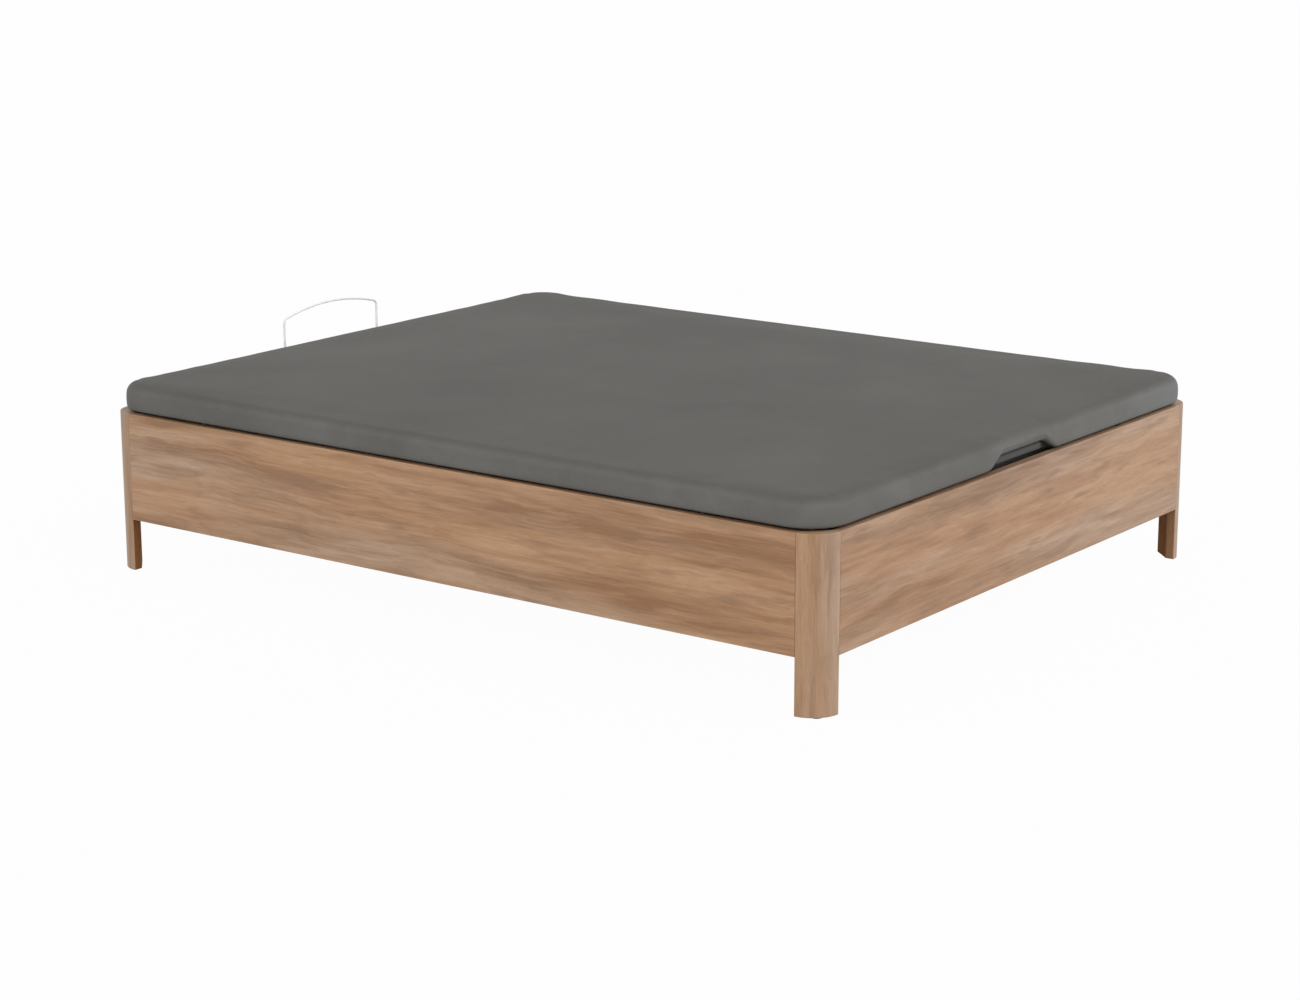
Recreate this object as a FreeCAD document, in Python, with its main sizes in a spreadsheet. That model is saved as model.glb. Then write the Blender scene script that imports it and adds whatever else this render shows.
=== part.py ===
import FreeCAD, Part
import math
import os
import re

import Sketcher

# Storage bed base with a lift-up lid: four wood-look boards between rounded corner posts that run
# down as legs, a floor inside the box, and an upholstered lid on a steel frame. The lid turns on
# butt hinges along the head end, two gas springs carry it, and a bent wire at the head end keeps
# the mattress in place. Millimetres, +X to the right seen from the foot end, +Y to the head, +Z up.
# The origin lies on the floor, under the middle of the whole object, wire included.

os.makedirs("parts", exist_ok=True)
doc = FreeCAD.newDocument("storage_bed_base")
Vector = FreeCAD.Vector
Rotation = FreeCAD.Rotation

DIMENSIONS = [
    # Box, posts and glides
    ("width", 1600, "outside width of the box"),
    ("length", 2000, "outside length of the box"),
    ("leg_height", 125, "floor to the underside of the boards"),
    ("board_height", 255, "height of the four boards"),
    ("board_thickness", 22, "thickness of the four boards"),
    ("post_radius", 65, "outside radius and reach of a corner post"),
    ("edge_round", 1.5, "rounding of the boards' edges and the posts' ends"),
    ("joint_chamfer", 1.5, "chamfer of a post beside a board"),
    ("glide_height", 2, "plastic glide under a post"),
    ("glide_radius", 14, "plastic glide under a post"),
    ("glide_inset", 31.3, "glide centre from the post's two outer faces"),
    ("glide_spigot", 4, "radius of the glide's spigot"),
    ("glide_spigot_length", 15, "glide's spigot in the post"),
    ("margin", 1, "cut past a face, and spare depth of a bore"),
    ("sliver", 0.01, "edge of a wedge that tapers to nothing"),
    # Joints between boards and posts
    ("fixing_inset", 45, "cam lock from the board's upper and lower edge"),
    ("dowel_inset", 85, "dowel from the board's upper and lower edge"),
    ("cam_setback", 34, "cam lock centre from the board's end"),
    ("cam_radius", 7.5, "cam lock"),
    ("cam_depth", 14, "cam lock"),
    ("cam_slot_half", 0.8, "half width of the driver slot in a cam lock"),
    ("cam_slot_depth", 2, "driver slot in a cam lock"),
    ("cam_slot_end", 2.5, "driver slot from the cam lock's edge"),
    ("pin_radius", 3.5, "cam pin thread and head"),
    ("pin_waist", 2.5, "radius of a cam pin between thread and head"),
    ("pin_head", 4, "length of a cam pin's head"),
    ("dowel_radius", 4, "wooden dowel"),
    ("fixing_depth", 20, "cam pin and dowel in the post"),
    ("slack", 0.2, "play round a fastener in its hole"),
    # Floor
    ("ledger", 20, "square section of the floor ledgers"),
    ("ledger_lift", 2, "ledger above the underside of the boards"),
    ("ledger_end", 4, "ledger end from the board's end"),
    ("ledger_screw_cover", 8, "wood left beyond the tip of a ledger screw"),
    ("floor_thickness", 10, "floor panel"),
    ("floor_gap", 3, "play between the floor panels and the boards"),
    ("panel_gap", 2, "gap between two floor panels"),
    ("beam_width", 40, "crossbeam under the floor"),
    ("beam_place", 325, "crossbeam from the middle of the box"),
    ("beam_play", 0.5, "crossbeam's end from the side board"),
    ("beam_screw_cover", 3, "wood left below the tip of a beam screw"),
    ("screw_radius", 2, "shank of every wood screw"),
    ("screw_head", 4, "radius of a screw head"),
    ("screw_head_height", 2.2, "height of a screw head"),
    ("centre_leg_radius", 19, "support leg under a crossbeam"),
    ("centre_leg_wall", 2, "wall of the support leg"),
    ("centre_leg_plug", 10, "solid lower end of the support leg"),
    ("centre_leg_cap", 4, "solid upper end of the support leg"),
    ("centre_foot_height", 16, "adjustable foot below the support leg"),
    ("foot_disc_height", 8, "disc of the adjustable foot"),
    ("foot_disc_lip", 3, "disc of the adjustable foot beyond the leg"),
    ("spindle_radius", 5, "spindle of the adjustable foot"),
    ("spindle_reach", 30, "spindle inside the support leg"),
    ("nut_radius", 9, "nut of the adjustable foot"),
    ("nut_height", 5, "nut of the adjustable foot"),
    # Lid
    ("bumper_radius", 6, "rubber bumper on the rim"),
    ("bumper_play", 0.4, "bumper below the closed lid"),
    ("side_bumper_place", 700, "outer side bumpers from the middle of the box"),
    ("foot_bumper_place", 450, "bumpers on the foot board from its middle"),
    ("seam_gap", 5, "open seam between rim and lid"),
    ("lid_inset", 3, "lid inside the outline of the box"),
    ("lid_height", 61, "lid from seam to top"),
    ("lid_corner", 92, "corner radius of the lid in plan"),
    ("lid_top_round", 25, "rounding of the lid's upper edge"),
    ("lid_low_round", 6, "rounding of the lid's lower edge"),
    ("cover", 3, "upholstery cloth with its lining"),
    ("cover_return", 38, "cloth turned in under the lid"),
    ("cushion_play", 0.3, "play between cloth, foam and board"),
    ("lid_board", 19, "lid board"),
    ("lid_board_inset", 20, "lid board inside the outline of the box"),
    ("notch_bottom", 155, "half width of the hand notch at the rim"),
    ("notch_top", 92, "half width of the hand notch at its ceiling"),
    ("notch_height", 30, "ceiling of the hand notch above the rim"),
    ("notch_front", 5, "hand notch's cut in front of the box"),
    # Lid frame
    ("tube", 25, "square tube of the lid frame"),
    ("tube_wall", 1.5, "wall of the tube"),
    ("frame_inset", 60, "lid frame inside the outline of the box"),
    ("cross_tube_place", 470, "outer cross tubes from the middle of the box"),
    ("cap_plate", 2, "plastic cap on a tube's end"),
    ("cap_plug", 12, "plug of the plastic cap in the tube"),
    ("frame_screw_outer", 800, "outer frame screws from the middle of the box"),
    ("frame_screw_inner", 270, "inner frame screws from the middle of the box"),
    ("frame_screw_cover", 4, "board left above the tip of a frame screw"),
    # Hinges
    ("hinge_inset", 10, "hinge axis inside the head face"),
    ("hinge_width", 80, "width of a hinge"),
    ("hinge_place", 500, "outer hinges from the middle of the bed"),
    ("barrel_radius", 6, "hinge barrel"),
    ("hinge_pin", 3, "radius of the hinge pin"),
    ("pin_play", 0.05, "play of the hinge pin"),
    ("leaf", 3, "thickness of the hinge leaves"),
    ("knuckle_gap", 0.4, "play between two knuckles"),
    ("hinge_recess", 12, "recess for a hinge in the head board's top"),
    ("hinge_side_play", 4, "recess beyond both ends of a hinge"),
    ("window_play", 2, "opening in the cloth round a hinge leaf"),
    ("base_leaf_height", 60, "lower end of the base leaf below the rim"),
    ("lid_leaf_reach", 45, "lid leaf from the hinge axis"),
    ("leaf_screw_row", 22, "near row of screws in a lid leaf"),
    ("leaf_screw_far_row", 38, "far row of screws in a lid leaf"),
    ("base_screw_row", 28, "upper row of screws in a base leaf, below the rim"),
    ("base_screw_far_row", 46, "lower row of screws in a base leaf, below the rim"),
    ("hinge_screw", 15, "hinge and bracket screws in the wood"),
    # Gas springs
    ("gas_arm", 232, "hinge axis to either end of a gas spring"),
    ("gas_dip", 2, "degrees, upper end below the hinge axis"),
    ("gas_spread", 58, "degrees between both ends seen from the hinge"),
    ("gas_place", 758, "gas spring from the middle of the bed"),
    ("gas_tube", 11, "outside radius of the gas cylinder"),
    ("gas_bore", 9.5, "bore radius of the gas cylinder"),
    ("gas_tube_start", 18, "gas cylinder's lower end from its eye"),
    ("gas_end_wall", 6, "closed lower end of the gas cylinder"),
    ("gas_gland", 39, "gas cylinder's upper end from the rod's eye"),
    ("gas_gland_depth", 12, "gland round the rod"),
    ("gas_rod", 5, "radius of the piston rod"),
    ("gas_play", 0.3, "play of rod and piston in the cylinder"),
    ("gas_neck", 6, "radius of the neck behind an eye"),
    ("gas_neck_length", 14, "neck behind an eye"),
    ("piston_place", 25, "piston from the lower eye, lid closed"),
    ("piston_height", 8, "piston"),
    ("eye_radius", 10, "end eye of a gas spring"),
    ("eye_width", 14, "end eye of a gas spring"),
    ("pivot_radius", 4, "shoulder bolt of a gas spring"),
    ("pivot_play", 0.05, "play of an eye on its bolt"),
    ("bolt_head", 7, "head radius of a shoulder bolt"),
    ("bolt_head_height", 4, "head of a shoulder bolt"),
    ("bracket", 4, "plate of a gas spring bracket"),
    ("boss_radius", 8, "boss of a gas spring bracket"),
    ("bracket_front", 26, "lower bracket from its bolt, towards the foot"),
    ("bracket_back", 18, "lower bracket from its bolt, towards the head"),
    ("bracket_low", 19, "lower bracket below its bolt"),
    ("bracket_high", 30, "lower bracket above its bolt"),
    ("bracket_half", 30, "half length of the upper bracket"),
    ("bracket_drop", 10, "upper bracket below its bolt"),
    ("bracket_screw_front", 18, "bracket screws from the bolt, towards the foot"),
    ("bracket_screw_back", 12, "bracket screw from the bolt, towards the head"),
    ("bracket_screw_high", 22, "bracket screws above the bolt"),
    ("bracket_screw_low", 12, "bracket screw below the bolt"),
    # Mattress retainer
    ("retainer_wire", 6, "wire diameter of the mattress retainer"),
    ("retainer_standoff", 29, "retainer loop behind the head face"),
    ("retainer_half", 172, "half width of the retainer loop"),
    ("retainer_shoulder", 108, "end of the retainer's straight legs above the rim"),
    ("retainer_top", 146, "top of the retainer's arch above the rim"),
    ("retainer_bend", 14, "bend radius of the wire"),
    ("ferrule_length", 50, "steel ferrule in the lid board"),
    ("ferrule_radius", 6, "outside radius of the ferrule"),
    ("prong_stop", 6, "end of the wire before the ferrule's inner end"),
    ("set_screw", 2, "radius of the ferrule's set screw"),
    ("wire_outlet", 4.4, "radius of the wire's way out through foam and cloth"),
]
ALIASES = {alias for alias, _, _ in DIMENSIONS}
TOUCH = 1e-3

sheet = doc.addObject("Spreadsheet::Sheet", "dims")
for row, (alias, value, note) in enumerate(DIMENSIONS, start=1):
    sheet.set(f"A{row}", note)
    sheet.set(f"B{row}", str(value))
    sheet.setAlias(f"B{row}", alias)
doc.recompute()

nodes = {}


def formula(text):
    """The text with each dimension's name pointing at its cell."""
    def cell(word):
        return "dims." + word.group() if word.group() in ALIASES else word.group()
    return re.sub(r"[a-z_]+", cell, str(text))


def size(text):
    """The value of a formula, for pieces whose shape is worked out here."""
    return float(sheet.evalExpression(formula(text)))


def bind(thing, **formulas):
    for name, text in formulas.items():
        thing.setExpression(name, formula(text))


def place(thing, x, y, z, rotation=None):
    if rotation is not None:
        thing.Placement = FreeCAD.Placement(Vector(), rotation)
    for axis, text in zip("xyz", (x, y, z)):
        thing.setExpression(f"Placement.Base.{axis}", formula(text))
    return thing


def block(low, high, name="block"):
    """Box between two corners given as formulas."""
    thing = doc.addObject("Part::Box", name)
    bind(thing, Length=f"{high[0]} - ({low[0]})", Width=f"{high[1]} - ({low[1]})",
         Height=f"{high[2]} - ({low[2]})")
    return place(thing, *low)


WAYS = {
    "x": Rotation(Vector(0, 1, 0), 90),
    "-x": Rotation(Vector(0, 1, 0), -90),
    "y": Rotation(Vector(1, 0, 0), -90),
    "-y": Rotation(Vector(1, 0, 0), 90),
    "z": Rotation(),
    "-z": Rotation(Vector(1, 0, 0), 180),
}


def peg(radius, length, start, way, name="peg"):
    """Cylinder from a point along one of the axes."""
    thing = doc.addObject("Part::Cylinder", name)
    bind(thing, Radius=radius, Height=length)
    return place(thing, *start, WAYS[way])


def joined(things, name="joined"):
    if len(things) == 1:
        return things[0]
    thing = doc.addObject("Part::MultiFuse", name)
    thing.Shapes = things
    return thing


def grouped(things, name="grouped"):
    thing = doc.addObject("Part::Compound", name)
    thing.Links = things
    return thing


def minus(base, tools, name="cut"):
    thing = doc.addObject("Part::Cut", name)
    thing.Base = base
    thing.Tool = joined(tools)
    return thing


def node(label, thing):
    thing.Label = label
    nodes[label] = thing
    return thing


def shifted(point, way, text):
    """A point moved along one of the axes by a formula."""
    sign = "-" if way[0] == "-" else "+"
    moved = list(point)
    index = "xyz".index(way[-1])
    moved[index] = f"{point[index]} {sign} ({text})"
    return tuple(moved)


def screw(start, way, length, grow="0"):
    """Wood screw with its head's outer face at start; grow makes its hole."""
    head = peg(f"screw_head + {grow}", f"screw_head_height + {grow}", start, way)
    shank_start = shifted(start, way, "screw_head_height / 2")
    shank_length = f"{length} - screw_head_height / 2 + {grow}"
    shank = peg(f"screw_radius + {grow}", shank_length, shank_start, way)
    return joined([head, shank], "screw")


def dressed(body, last, kind, size_name, text, wanted):
    """Rounds or chamfers the wanted edges of a body's last feature."""
    names = [f"Edge{index}" for index, edge in enumerate(last.Shape.Edges, start=1) if wanted(edge.BoundBox)]
    feature = body.newObject(kind, "edges")
    feature.Base = (last, names)
    bind(feature, **{size_name: text})
    doc.recompute()
    return feature


def rounded(body, last, radius, wanted):
    return dressed(body, last, "PartDesign::Fillet", "Radius", radius, wanted)


def slab_body(length, width, height):
    """Body with a plain block in it, from its origin."""
    body = doc.addObject("PartDesign::Body", "slab")
    bar = body.newObject("PartDesign::AdditiveBox", "slab_block")
    bind(bar, Length=length, Width=width, Height=height)
    doc.recompute()
    return body, bar


# Heights and faces that several pieces share
RIM = "(leg_height + board_height)"
MIDDLE = "(-(retainer_standoff + retainer_wire / 2) / 2)"
FOOT = f"({MIDDLE} - length / 2)"
HEAD = f"({MIDDLE} + length / 2)"
SIDE = "(width / 2)"
INSIDE = "(width / 2 - board_thickness)"
FLOOR_TOP = "(leg_height + ledger_lift + ledger + floor_thickness)"
LID_LOW = f"({RIM} + seam_gap)"
LID_TOP = f"({LID_LOW} + lid_height)"
BOARD_LOW = f"({LID_LOW} + cover)"
BOARD_TOP = f"({BOARD_LOW} + lid_board)"
TUBE_LOW = f"({BOARD_LOW} - tube)"
FRAME_SIDE = "(width / 2 - frame_inset)"
FRAME_FOOT = f"({FOOT} + frame_inset)"
FRAME_HEAD = f"({HEAD} - frame_inset)"
AXIS_Y = f"({HEAD} - hinge_inset)"
AXIS_Z = RIM

# The four corners and the four boards follow each other round the box in quarter turns
CORNERS = [
    ("corner_post_foot_left", f"-{SIDE}", FOOT, 0),
    ("corner_post_foot_right", SIDE, FOOT, 90),
    ("corner_post_head_right", SIDE, HEAD, 180),
    ("corner_post_head_left", f"-{SIDE}", HEAD, 270),
]
ACROSS = "(width - 2 * post_radius)"
ALONG = "(length - 2 * post_radius)"
BOARDS = [
    ("foot", f"-{SIDE} + post_radius", FOOT, 0, ACROSS),
    ("right", SIDE, f"{FOOT} + post_radius", 90, ALONG),
    ("head", f"{SIDE} - post_radius", HEAD, 180, ACROSS),
    ("left", f"-{SIDE}", f"{HEAD} - post_radius", 270, ALONG),
]
CAM_LEVELS = ["fixing_inset", "board_height - fixing_inset"]
DOWEL_LEVELS = ["dowel_inset", "board_height - dowel_inset"]
BORE_DEPTH = "fixing_depth + 2 * margin"


def corner_section(body, origin_plane):
    """Quarter-round section of a post, its outer corner at the sketch's origin."""
    sketch = body.newObject("Sketcher::SketchObject", "post_section")
    sketch.AttachmentSupport = [(origin_plane, "")]
    sketch.MapMode = "FlatFace"
    radius = size("post_radius")
    thick = size("board_thickness")
    points = [Vector(radius, 0, 0), Vector(radius, thick, 0), Vector(thick, radius, 0), Vector(0, radius, 0)]
    for start, end in zip(points, points[1:]):
        sketch.addGeometry(Part.LineSegment(start, end))
    circle = Part.Circle(Vector(radius, radius, 0), Vector(0, 0, 1), radius)
    sketch.addGeometry(Part.ArcOfCircle(circle, math.pi, 1.5 * math.pi))
    first_end, slant, last_end, arc = range(4)
    for before, after in ((first_end, slant), (slant, last_end), (last_end, arc), (arc, first_end)):
        sketch.addConstraint(Sketcher.Constraint("Coincident", before, 2, after, 1))
    sketch.addConstraint(Sketcher.Constraint("Vertical", first_end))
    sketch.addConstraint(Sketcher.Constraint("Horizontal", last_end))
    sketch.addConstraint(Sketcher.Constraint("Vertical", first_end, 1, arc, 3))
    sketch.addConstraint(Sketcher.Constraint("Horizontal", last_end, 2, arc, 3))
    sizes = [
        (Sketcher.Constraint("DistanceX", -1, 1, arc, 3, radius), "post_radius"),
        (Sketcher.Constraint("DistanceY", -1, 1, arc, 3, radius), "post_radius"),
        (Sketcher.Constraint("Radius", arc, radius), "post_radius"),
        (Sketcher.Constraint("DistanceY", first_end, 1, first_end, 2, thick), "board_thickness"),
        (Sketcher.Constraint("DistanceX", last_end, 2, last_end, 1, thick), "board_thickness"),
    ]
    for constraint, text in sizes:
        index = sketch.addConstraint(constraint)
        sketch.setExpression(f"Constraints[{index}]", formula(text))
    return sketch


def plane(body, role):
    return next(feature for feature in body.Origin.OriginFeatures if feature.Role == role)


def post_body():
    """Post with chamfers beside the boards and rounded ends."""
    body = doc.addObject("PartDesign::Body", "post_body")
    pad = body.newObject("PartDesign::Pad", "post_pad")
    pad.Profile = corner_section(body, plane(body, "XY_Plane"))
    bind(pad, Length=f"{RIM} - glide_height")
    doc.recompute()
    tall = size(f"{RIM} - glide_height")
    reach = size("post_radius")

    def beside_board(box):
        upright = box.ZLength > tall - TOUCH
        return upright and min(box.XMin, box.YMin) < TOUCH and max(box.XMax, box.YMax) > reach - TOUCH

    chamfer = dressed(body, pad, "PartDesign::Chamfer", "Size", "joint_chamfer", beside_board)
    rounded(body, chamfer, "edge_round", lambda box: box.ZLength < TOUCH)
    return place(body, "0", "0", "glide_height")


def corner_post(label, x, y, turn):
    bores = []
    for levels, radius in ((CAM_LEVELS, "pin_radius + slack"), (DOWEL_LEVELS, "dowel_radius + slack")):
        for level in levels:
            height = f"leg_height + {level}"
            bores.append(peg(radius, BORE_DEPTH, ("post_radius", "board_thickness / 2", height), "-x"))
            bores.append(peg(radius, BORE_DEPTH, ("board_thickness / 2", "post_radius", height), "-y"))
    bores.append(peg("glide_spigot + slack", "glide_spigot_length + margin",
                     ("glide_inset", "glide_inset", "glide_height"), "z"))
    post = minus(post_body(), bores, label)
    place(post, x, y, "0", Rotation(Vector(0, 0, 1), turn))
    node(label, post)


def leg_glide(x, y, turn):
    spot = ("glide_inset", "glide_inset", "0")
    disc = peg("glide_radius", "glide_height", spot, "z")
    spigot = peg("glide_spigot", "glide_spigot_length", shifted(spot, "z", "glide_height / 2"), "z")
    glide = joined([disc, spigot], "glide")
    return place(glide, x, y, "0", Rotation(Vector(0, 0, 1), turn))


def ledger_stations(count, span):
    """Evenly spread screw places along a board."""
    return [f"{span} * {2 * index + 1} / {2 * count}" for index in range(count)]


LEDGER_SCREWS = {"foot": 4, "head": 4, "left": 6, "right": 6}
LEDGER_SCREW_LENGTH = "(ledger + board_thickness - ledger_screw_cover)"
LEDGER_MIDDLE = "(ledger_lift + ledger / 2)"
LEDGER_FACE = "(board_thickness + ledger)"


def cam_lock(end, way, level):
    """Cam lock with the pocket for its pin's head and a driver slot."""
    top = shifted((end, "board_thickness - slack", level), way, "cam_setback")
    drum = peg("cam_radius", "cam_depth", top, "-y")
    pocket_start = shifted((end, "board_thickness / 2", level), way, "cam_setback - cam_radius - 2 * margin")
    pocket = peg("pin_radius + slack", "cam_radius + 2 * margin", pocket_start, way)
    slot_low = shifted(shifted(top, "-y", "cam_slot_depth"), "-z", "cam_slot_half")
    slot_high = shifted(shifted(top, "y", "margin"), "z", "cam_slot_half")
    slot = block(shifted(slot_low, "-x", "cam_radius - cam_slot_end"),
                 shifted(slot_high, "x", "cam_radius - cam_slot_end"))
    return minus(drum, [pocket, slot], "cam_lock")


def cam_pin(mouth, way):
    """Cam pin: thread in the post, waist in the board and head in the cam lock."""
    thread = peg("pin_radius", "fixing_depth", shifted(mouth, way, "-fixing_depth"), way)
    waist = peg("pin_waist", "cam_setback - cam_radius + 3 * margin", shifted(mouth, way, "-margin"), way)
    head = peg("pin_radius", "pin_head", shifted(mouth, way, "cam_setback - cam_radius + margin"), way)
    return joined([thread, waist, head], "cam_pin")


def end_joints(span):
    """Cam locks, cam pins, dowels and their bores at both ends of a board."""
    cams, pins, dowels, bores = [], [], [], []
    for end, way in (("0", "x"), (span, "-x")):
        for level in CAM_LEVELS:
            mouth = (end, "board_thickness / 2", level)
            pins.append(cam_pin(mouth, way))
            cams.append(cam_lock(end, way, level))
            bores.append(peg("pin_radius + slack", "cam_setback", mouth, way))
            bores.append(peg("cam_radius + slack", "cam_depth + slack * 2",
                             shifted((end, "board_thickness", level), way, "cam_setback"), "-y"))
        for level in DOWEL_LEVELS:
            mouth = (end, "board_thickness / 2", level)
            start = shifted(mouth, way, "-fixing_depth")
            dowels.append(peg("dowel_radius", "fixing_depth * 2", start, way))
            bores.append(peg("dowel_radius + slack", BORE_DEPTH, mouth, way))
    return cams, pins, dowels, bores


def in_place(thing, board):
    _, x, y, turn, _ = board
    return place(thing, x, y, "leg_height", Rotation(Vector(0, 0, 1), turn))


HINGES = {"left": "-hinge_place", "centre": "0", "right": "hinge_place"}
BASE_SCREW_SPOTS = [("-hinge_width / 3", "-base_screw_row"), ("hinge_width / 3", "-base_screw_row"),
                    ("0", "-base_screw_far_row")]


def board_panel(span):
    """Plain board whose outer face and top have rounded edges."""
    body, bar = slab_body(span, "board_thickness", "board_height")
    tall = size("board_height")
    rounded(body, bar, "edge_round", lambda box: box.YMax < TOUCH or box.ZMin > tall - TOUCH)
    return body


def hinge_seats(span):
    """Recesses and screw holes for the hinges in the head board, in the board's own frame."""
    cuts = []
    for centre in HINGES.values():
        middle = f"{span} / 2 - ({centre})"
        reach = "hinge_width / 2 + hinge_side_play"
        cuts.append(block((f"{middle} - ({reach})", "-margin", "board_height - hinge_recess"),
                          (f"{middle} + {reach}", "board_thickness + margin", "board_height + margin")))
        cuts += [peg("screw_radius + slack", "hinge_screw",
                     (f"{middle} + {dx}", "board_thickness", f"board_height {dz}"), "-y")
                 for dx, dz in BASE_SCREW_SPOTS]
    return cuts


def box_boards():
    """The four boards with their joints, ledgers and ledger screws."""
    all_cams, all_pins, all_dowels, all_screws = [], [], [], []
    for board in BOARDS:
        name, _, _, _, span = board
        cams, pins, dowels, bores = end_joints(span)
        stations = ledger_stations(LEDGER_SCREWS[name], span)
        starts = [(station, LEDGER_FACE, LEDGER_MIDDLE) for station in stations]
        screws = [screw(start, "-y", LEDGER_SCREW_LENGTH) for start in starts]
        holes = grouped([screw(start, "-y", LEDGER_SCREW_LENGTH, "slack") for start in starts])
        strip = block(("ledger_end", "board_thickness", "ledger_lift"),
                      (f"{span} - ledger_end", LEDGER_FACE, "ledger_lift + ledger"))
        notches = []
        if name == "head":
            bores += hinge_seats(span)
        if name in ("left", "right"):
            bores += lower_bracket_pilots(name, span)
            notches = [beam_notch(f"{span} / 2 {sign} beam_place") for sign in "+-"]
        label = f"{name}_board" if name in ("foot", "head") else f"side_board_{name}"
        node(label, in_place(minus(board_panel(span), bores + [holes], "board"), board))
        node(f"floor_ledger_{name}", in_place(minus(strip, [holes] + notches, "ledger"), board))
        for pieces, whole in ((cams, all_cams), (pins, all_pins), (dowels, all_dowels), (screws, all_screws)):
            whole.append(in_place(grouped(pieces), board))
    node("cam_locks", grouped(all_cams))
    node("cam_pins", grouped(all_pins))
    node("dowels", grouped(all_dowels))
    node("ledger_screws", grouped(all_screws))


BEAM_SCREW_LENGTH = "(ledger - beam_screw_cover)"
BEAM_SCREW_PLACE = f"({INSIDE} - ledger / 2)"


def beam_notch(station):
    """Half-lap notch for a crossbeam with the pilot hole of its screw."""
    reach = "beam_width / 2 + slack"
    seat = block((f"{station} - ({reach})", "board_thickness - margin", LEDGER_MIDDLE),
                 (f"{station} + {reach}", f"{LEDGER_FACE} + margin", "ledger_lift + ledger + margin"))
    pilot = peg("screw_radius + slack", BEAM_SCREW_LENGTH,
                (station, "board_thickness + ledger / 2", "ledger_lift + ledger"), "-z")
    return joined([seat, pilot])


BEAM_LOW = "(leg_height + ledger_lift)"
BEAM_HIGH = f"({BEAM_LOW} + ledger)"


def crossbeam(label, y):
    """Crossbeam lapped onto the side ledgers, with its screws."""
    beam = block((f"-{INSIDE} + beam_play", f"{y} - beam_width / 2", BEAM_LOW),
                 (f"{INSIDE} - beam_play", f"{y} + beam_width / 2", BEAM_HIGH))
    screws, cuts = [], []
    for side in ("-", ""):
        middle = f"{side}({BEAM_SCREW_PLACE})"
        reach = "ledger / 2 + slack + margin"
        cuts.append(block((f"{middle} - ({reach})", f"{y} - beam_width", f"{BEAM_LOW} - margin"),
                          (f"{middle} + {reach}", f"{y} + beam_width", f"{BEAM_LOW} + ledger / 2")))
        screws.append(screw((middle, y, BEAM_HIGH), "-z", BEAM_SCREW_LENGTH))
        cuts.append(screw((middle, y, BEAM_HIGH), "-z", BEAM_SCREW_LENGTH, "slack"))
    node(f"crossbeam_{label}", minus(beam, cuts, "beam"))
    return screws


def support_leg(y):
    """Tubular leg under a crossbeam, with its adjustable foot."""
    leg_length = f"{BEAM_LOW} - centre_foot_height"
    shell = peg("centre_leg_radius", leg_length, ("0", y, "centre_foot_height"), "z")
    hollow = peg("centre_leg_radius - centre_leg_wall", f"{leg_length} - centre_leg_plug - centre_leg_cap",
                 ("0", y, "centre_foot_height + centre_leg_plug"), "z")
    thread_hole = peg("spindle_radius + slack", "centre_leg_plug + 2 * margin",
                      ("0", y, "centre_foot_height - margin"), "z")
    leg = minus(shell, [hollow, thread_hole], "centre_leg")
    disc = peg("centre_leg_radius + foot_disc_lip", "foot_disc_height", ("0", y, "0"), "z")
    spindle = peg("spindle_radius", "centre_foot_height + spindle_reach",
                  ("0", y, "foot_disc_height / 2"), "z")
    nut = peg("nut_radius", "nut_height", ("0", y, "centre_foot_height - nut_height - slack"), "z")
    return leg, joined([disc, spindle, nut], "centre_foot")


def floor():
    """Crossbeams, support legs and three floor panels."""
    screws, legs, feet = [], [], []
    for label, sign in (("foot", "-"), ("head", "+")):
        y = f"({MIDDLE} {sign} beam_place)"
        screws += crossbeam(label, y)
        leg, foot = support_leg(y)
        legs.append(leg)
        feet.append(foot)
    node("beam_screws", grouped(screws))
    node("centre_legs", grouped(legs))
    node("centre_leg_feet", grouped(feet))
    edge = f"({INSIDE} - floor_gap)"
    end_reach = "(length / 2 - board_thickness - floor_gap)"
    seam = "(beam_place + panel_gap / 2)"
    middle_reach = "(beam_place - panel_gap / 2)"
    spans = [("foot", f"{MIDDLE} - {end_reach}", f"{MIDDLE} - {seam}"),
             ("middle", f"{MIDDLE} - {middle_reach}", f"{MIDDLE} + {middle_reach}"),
             ("head", f"{MIDDLE} + {seam}", f"{MIDDLE} + {end_reach}")]
    for label, start, end in spans:
        panel = block((f"-{edge}", start, f"{FLOOR_TOP} - floor_thickness"), (edge, end, FLOOR_TOP))
        if label != "middle":
            panel = minus(panel, [corner_relief(x, y, turn) for _, x, y, turn in CORNERS], "floor_panel")
        node(f"floor_panel_{label}", panel)


def corner_relief(x, y, turn):
    """Triangle off a floor panel's corner that clears the slanted back of a post."""
    wedge = doc.addObject("Part::Wedge", "relief")
    reach = "(post_radius + board_thickness + floor_gap * 2)"
    bind(wedge, Xmin="0", Xmax=reach, X2min="0", X2max="sliver", Ymin="0", Ymax=reach,
         Zmin="0", Zmax="board_height", Z2min="0", Z2max="board_height")
    return place(wedge, x, y, "leg_height", Rotation(Vector(0, 0, 1), turn))


def rim_bumpers():
    """Rubber bumpers on the tops of the side and foot boards."""
    height = "seam_gap - bumper_play"
    inset = "(board_thickness - bumper_radius - margin)"
    spots = [(f"{side}(width / 2 - {inset})", f"{MIDDLE} + {y}")
             for side in ("-", "") for y in ("-side_bumper_place", "0", "side_bumper_place")]
    spots += [(x, f"{FOOT} + {inset}") for x in ("-foot_bumper_place", "foot_bumper_place")]
    node("rim_bumpers", grouped([peg("bumper_radius", height, (x, y, RIM), "z") for x, y in spots]))


BASE_KNUCKLES = (0, 2, 4)
LID_KNUCKLES = (1, 3)


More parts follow.
